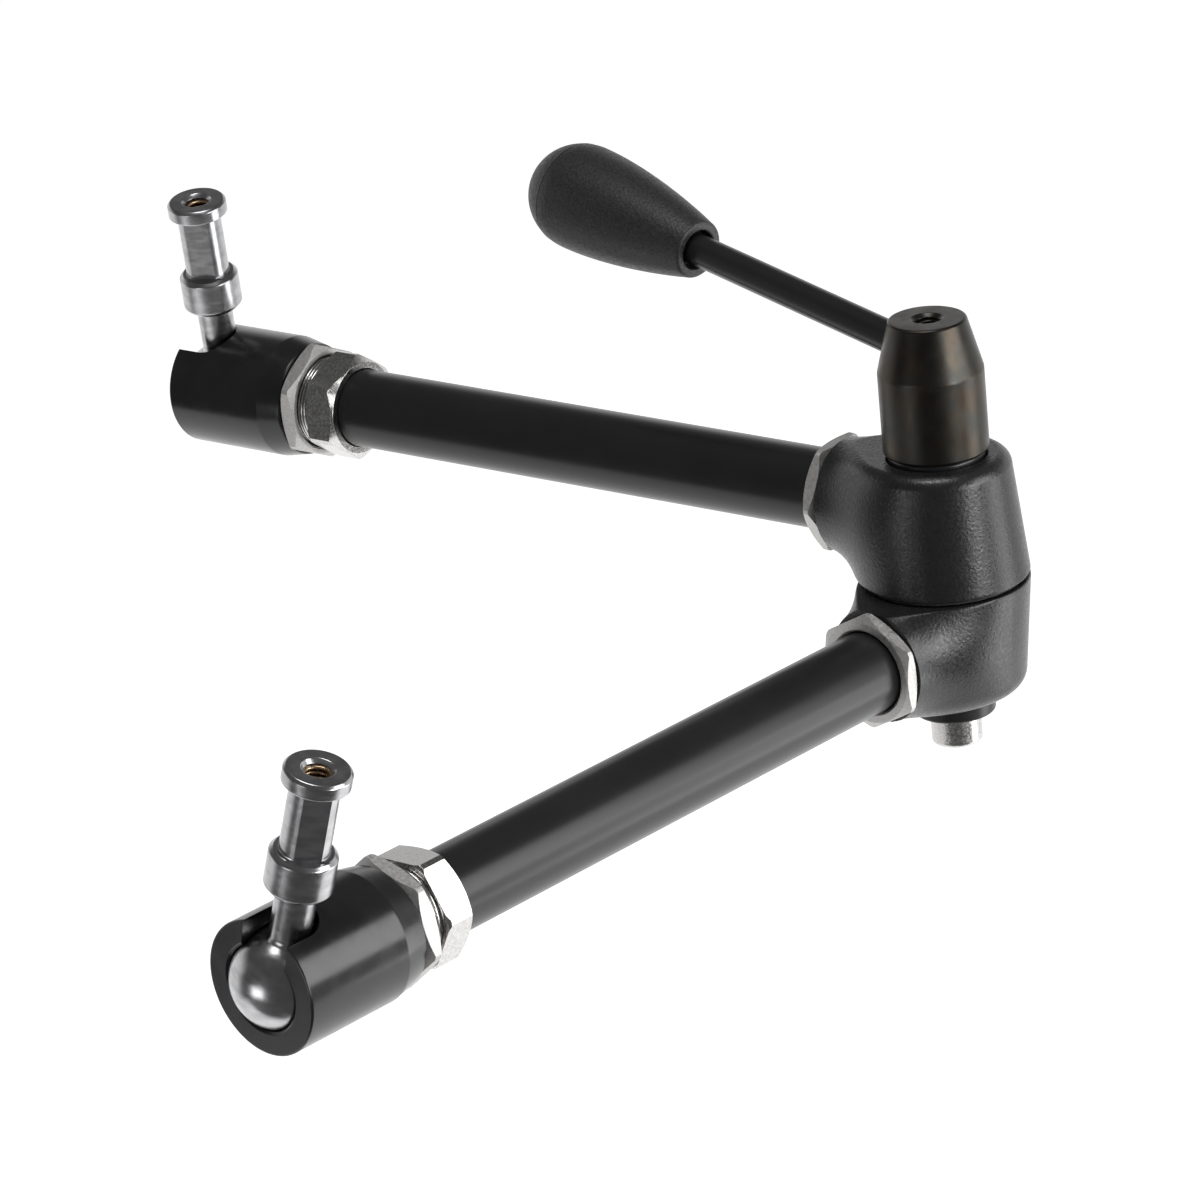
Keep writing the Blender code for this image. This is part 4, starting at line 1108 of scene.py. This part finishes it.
class ARM_OT_lock(Operator):
    """Build the lever, its hub and the cones on the spindle"""
    bl_idname = "arm.lock"
    bl_label = "Lever and lock"

    def execute(self, context):
        black = blackened_steel()
        lever_hub(black)
        lever_rod(satin_black("lever_rod_black", looks().tube_colour, ROD_FRAME, 0.28, 0.31))
        lever_grip(grip_plastic())
        dark = satin_black("collar_black", looks().tube_colour, ELBOW_FRAME, 0.30, 0.33)
        wedge("upper_cone", UPPER_COLLAR_RADIUS, HUB_BOTTOM - GAP, UPPER_ARM.height, 1, "thrust",
              "upper_wedge", dark)
        wedge("lower_cone", LOWER_COLLAR_RADIUS, LOWER_COLLAR_END, LOWER_ARM.height, -1, "tie",
              "lower_wedge", dark)
        spindle(plated("spindle_nickel", ELBOW_FRAME, 0.22, 0.32, 0.15))
        return {"FINISHED"}


class ARM_OT_inner_finishes(Operator):
    """Give the pieces inside the elbow and the tubes their finishes"""
    bl_idname = "arm.inner_finishes"
    bl_label = "Inner finishes"

    def execute(self, context):
        steel = plain_steel()
        names = ("return_spring", "upper_push_rod", "lower_push_rod", "upper_pressure_cup",
                 "lower_pressure_cup")
        for name in names:
            frame["nodes"][name].data.materials[0] = steel
        frame["nodes"]["friction_washer"].data.materials[0] = fibre()
        return {"FINISHED"}


def area_light(name, place, target, size, brightness):
    """A softbox; its power gives every point of it the stated brightness."""
    lamp = bpy.data.lights.new(name, "AREA")
    lamp.shape = "RECTANGLE"
    lamp.size, lamp.size_y = size
    lamp.energy = brightness * math.pi * size[0] * size[1]
    light = bpy.data.objects.new(name, lamp)
    light.location = place
    light.rotation_euler = (target - place).to_track_quat("-Z", "Y").to_euler()
    bpy.context.scene.collection.objects.link(light)


def studio_world():
    """Even light, a white background, and a dim room in front for shiny surfaces."""
    world = bpy.data.worlds.new("studio")
    world.use_nodes = True
    tree = world.node_tree
    ray = tree.nodes.new("ShaderNodeTexCoord").outputs["Generated"]
    direction = add_node(tree, "ShaderNodeSeparateXYZ", {"Vector": ray}).outputs
    path = tree.nodes.new("ShaderNodeLightPath").outputs

    def span(value, start, end, low=0.0, high=1.0):
        return add_node(tree, "ShaderNodeMapRange", {
            "Value": value, "From Min": start, "From Max": end, "To Min": low,
            "To Max": high}).outputs["Result"]

    behind = span(direction["Y"], *SWEEP_BEHIND)
    low = span(direction["Z"], *SWEEP_TOP)
    sweep = add_node(tree, "ShaderNodeMath", {0: behind, 1: low}, operation="MULTIPLY")
    mirrored = span(sweep.outputs[0], 0.0, 1.0, studio().room_strength)
    sky = span(direction["Z"], *SKY_RISE, studio().room_strength, studio().sky_strength)
    choose = add_node(tree, "ShaderNodeMix", {
        "Factor": path["Is Glossy Ray"], "A": sky, "B": mirrored})
    shown = add_node(tree, "ShaderNodeMath", {
        0: path["Is Camera Ray"], 1: choose.outputs["Result"]}, operation="MAXIMUM")
    background = tree.nodes["Background"]
    background.inputs["Color"].default_value = (1.0, 1.0, 1.0, 1.0)
    tree.links.new(shown.outputs[0], background.inputs["Strength"])
    bpy.context.scene.world = world


class ARM_OT_stage(Operator):
    """Build the floor, the lights and the camera"""
    bl_idname = "arm.stage"
    bl_label = "Stage and camera"

    def execute(self, context):
        scene = context.scene
        scene.view_settings.view_transform = "Standard"
        studio_world()
        middle = (CAD_BOX[0] + CAD_BOX[1]) / 2.0
        level = CAD_BOX[0].z - studio().floor_drop
        left, right = middle.x - FLOOR_HALF_WIDTH, middle.x + FLOOR_HALF_WIDTH
        front, back = middle.y - FLOOR_FRONT, middle.y + FLOOR_BACK
        mesh = bmesh.new()
        mesh.faces.new([mesh.verts.new((x, y, level)) for x, y in (
            (left, front), (right, front), (right, back), (left, back))])
        link("floor", mesh, floor_paper())
        for name, (place, size, brightness) in SOFTBOXES.items():
            area_light(name, middle + Vector(place), middle, size,
                       brightness * studio().light_level)

        lens = bpy.data.cameras.new("photo_camera")
        lens.sensor_fit = "HORIZONTAL"
        lens.sensor_width = SENSOR
        lens.lens = CAMERA_LENS
        lens.clip_end = 50.0
        camera = bpy.data.objects.new("photo_camera", lens)
        camera.matrix_world = (Matrix.Translation(ELBOW + CAMERA_FROM_ELBOW)
                               @ Matrix.Rotation(CAMERA_TURN, 4, "Z")
                               @ Matrix.Rotation(math.radians(90.0) - CAMERA_ELEVATION, 4, "X")
                               @ Matrix.Rotation(CAMERA_ROLL, 4, "Z"))
        scene.collection.objects.link(camera)
        scene.camera = camera
        return {"FINISHED"}


class ARM_PT_looks(Panel):
    """Sizes, colours and steps of the friction arm"""
    bl_idname = "ARM_PT_looks"
    bl_label = "Friction arm"
    bl_space_type = "VIEW_3D"
    bl_region_type = "UI"
    bl_category = "Friction arm"

    def draw(self, context):
        layout = self.layout
        for group in (context.scene.arm_looks, context.scene.studio_looks):
            column = layout.column()
            for name in group.bl_rna.properties.keys():
                if name not in ("rna_type", "name"):
                    column.prop(group, name)
        for step in STEPS:
            layout.operator(step.bl_idname)


STEPS = (ARM_OT_castings, ARM_OT_arms, ARM_OT_ball_joints, ARM_OT_lock, ARM_OT_inner_finishes,
         ARM_OT_stage)
CLASSES = (ArmLooks, StudioLooks, *STEPS, ARM_PT_looks)


def register():
    for item in CLASSES:
        bpy.utils.register_class(item)
    bpy.types.Scene.arm_looks = PointerProperty(type=ArmLooks)
    bpy.types.Scene.studio_looks = PointerProperty(type=StudioLooks)


def unregister():
    del bpy.types.Scene.studio_looks
    del bpy.types.Scene.arm_looks
    for item in reversed(CLASSES):
        bpy.utils.unregister_class(item)


def main():
    register()
    bpy.ops.arm.castings()
    bpy.ops.arm.arms()
    bpy.ops.arm.ball_joints()
    bpy.ops.arm.lock()
    bpy.ops.arm.inner_finishes()
    bpy.ops.arm.stage()


if __name__ == "__main__":
    main()
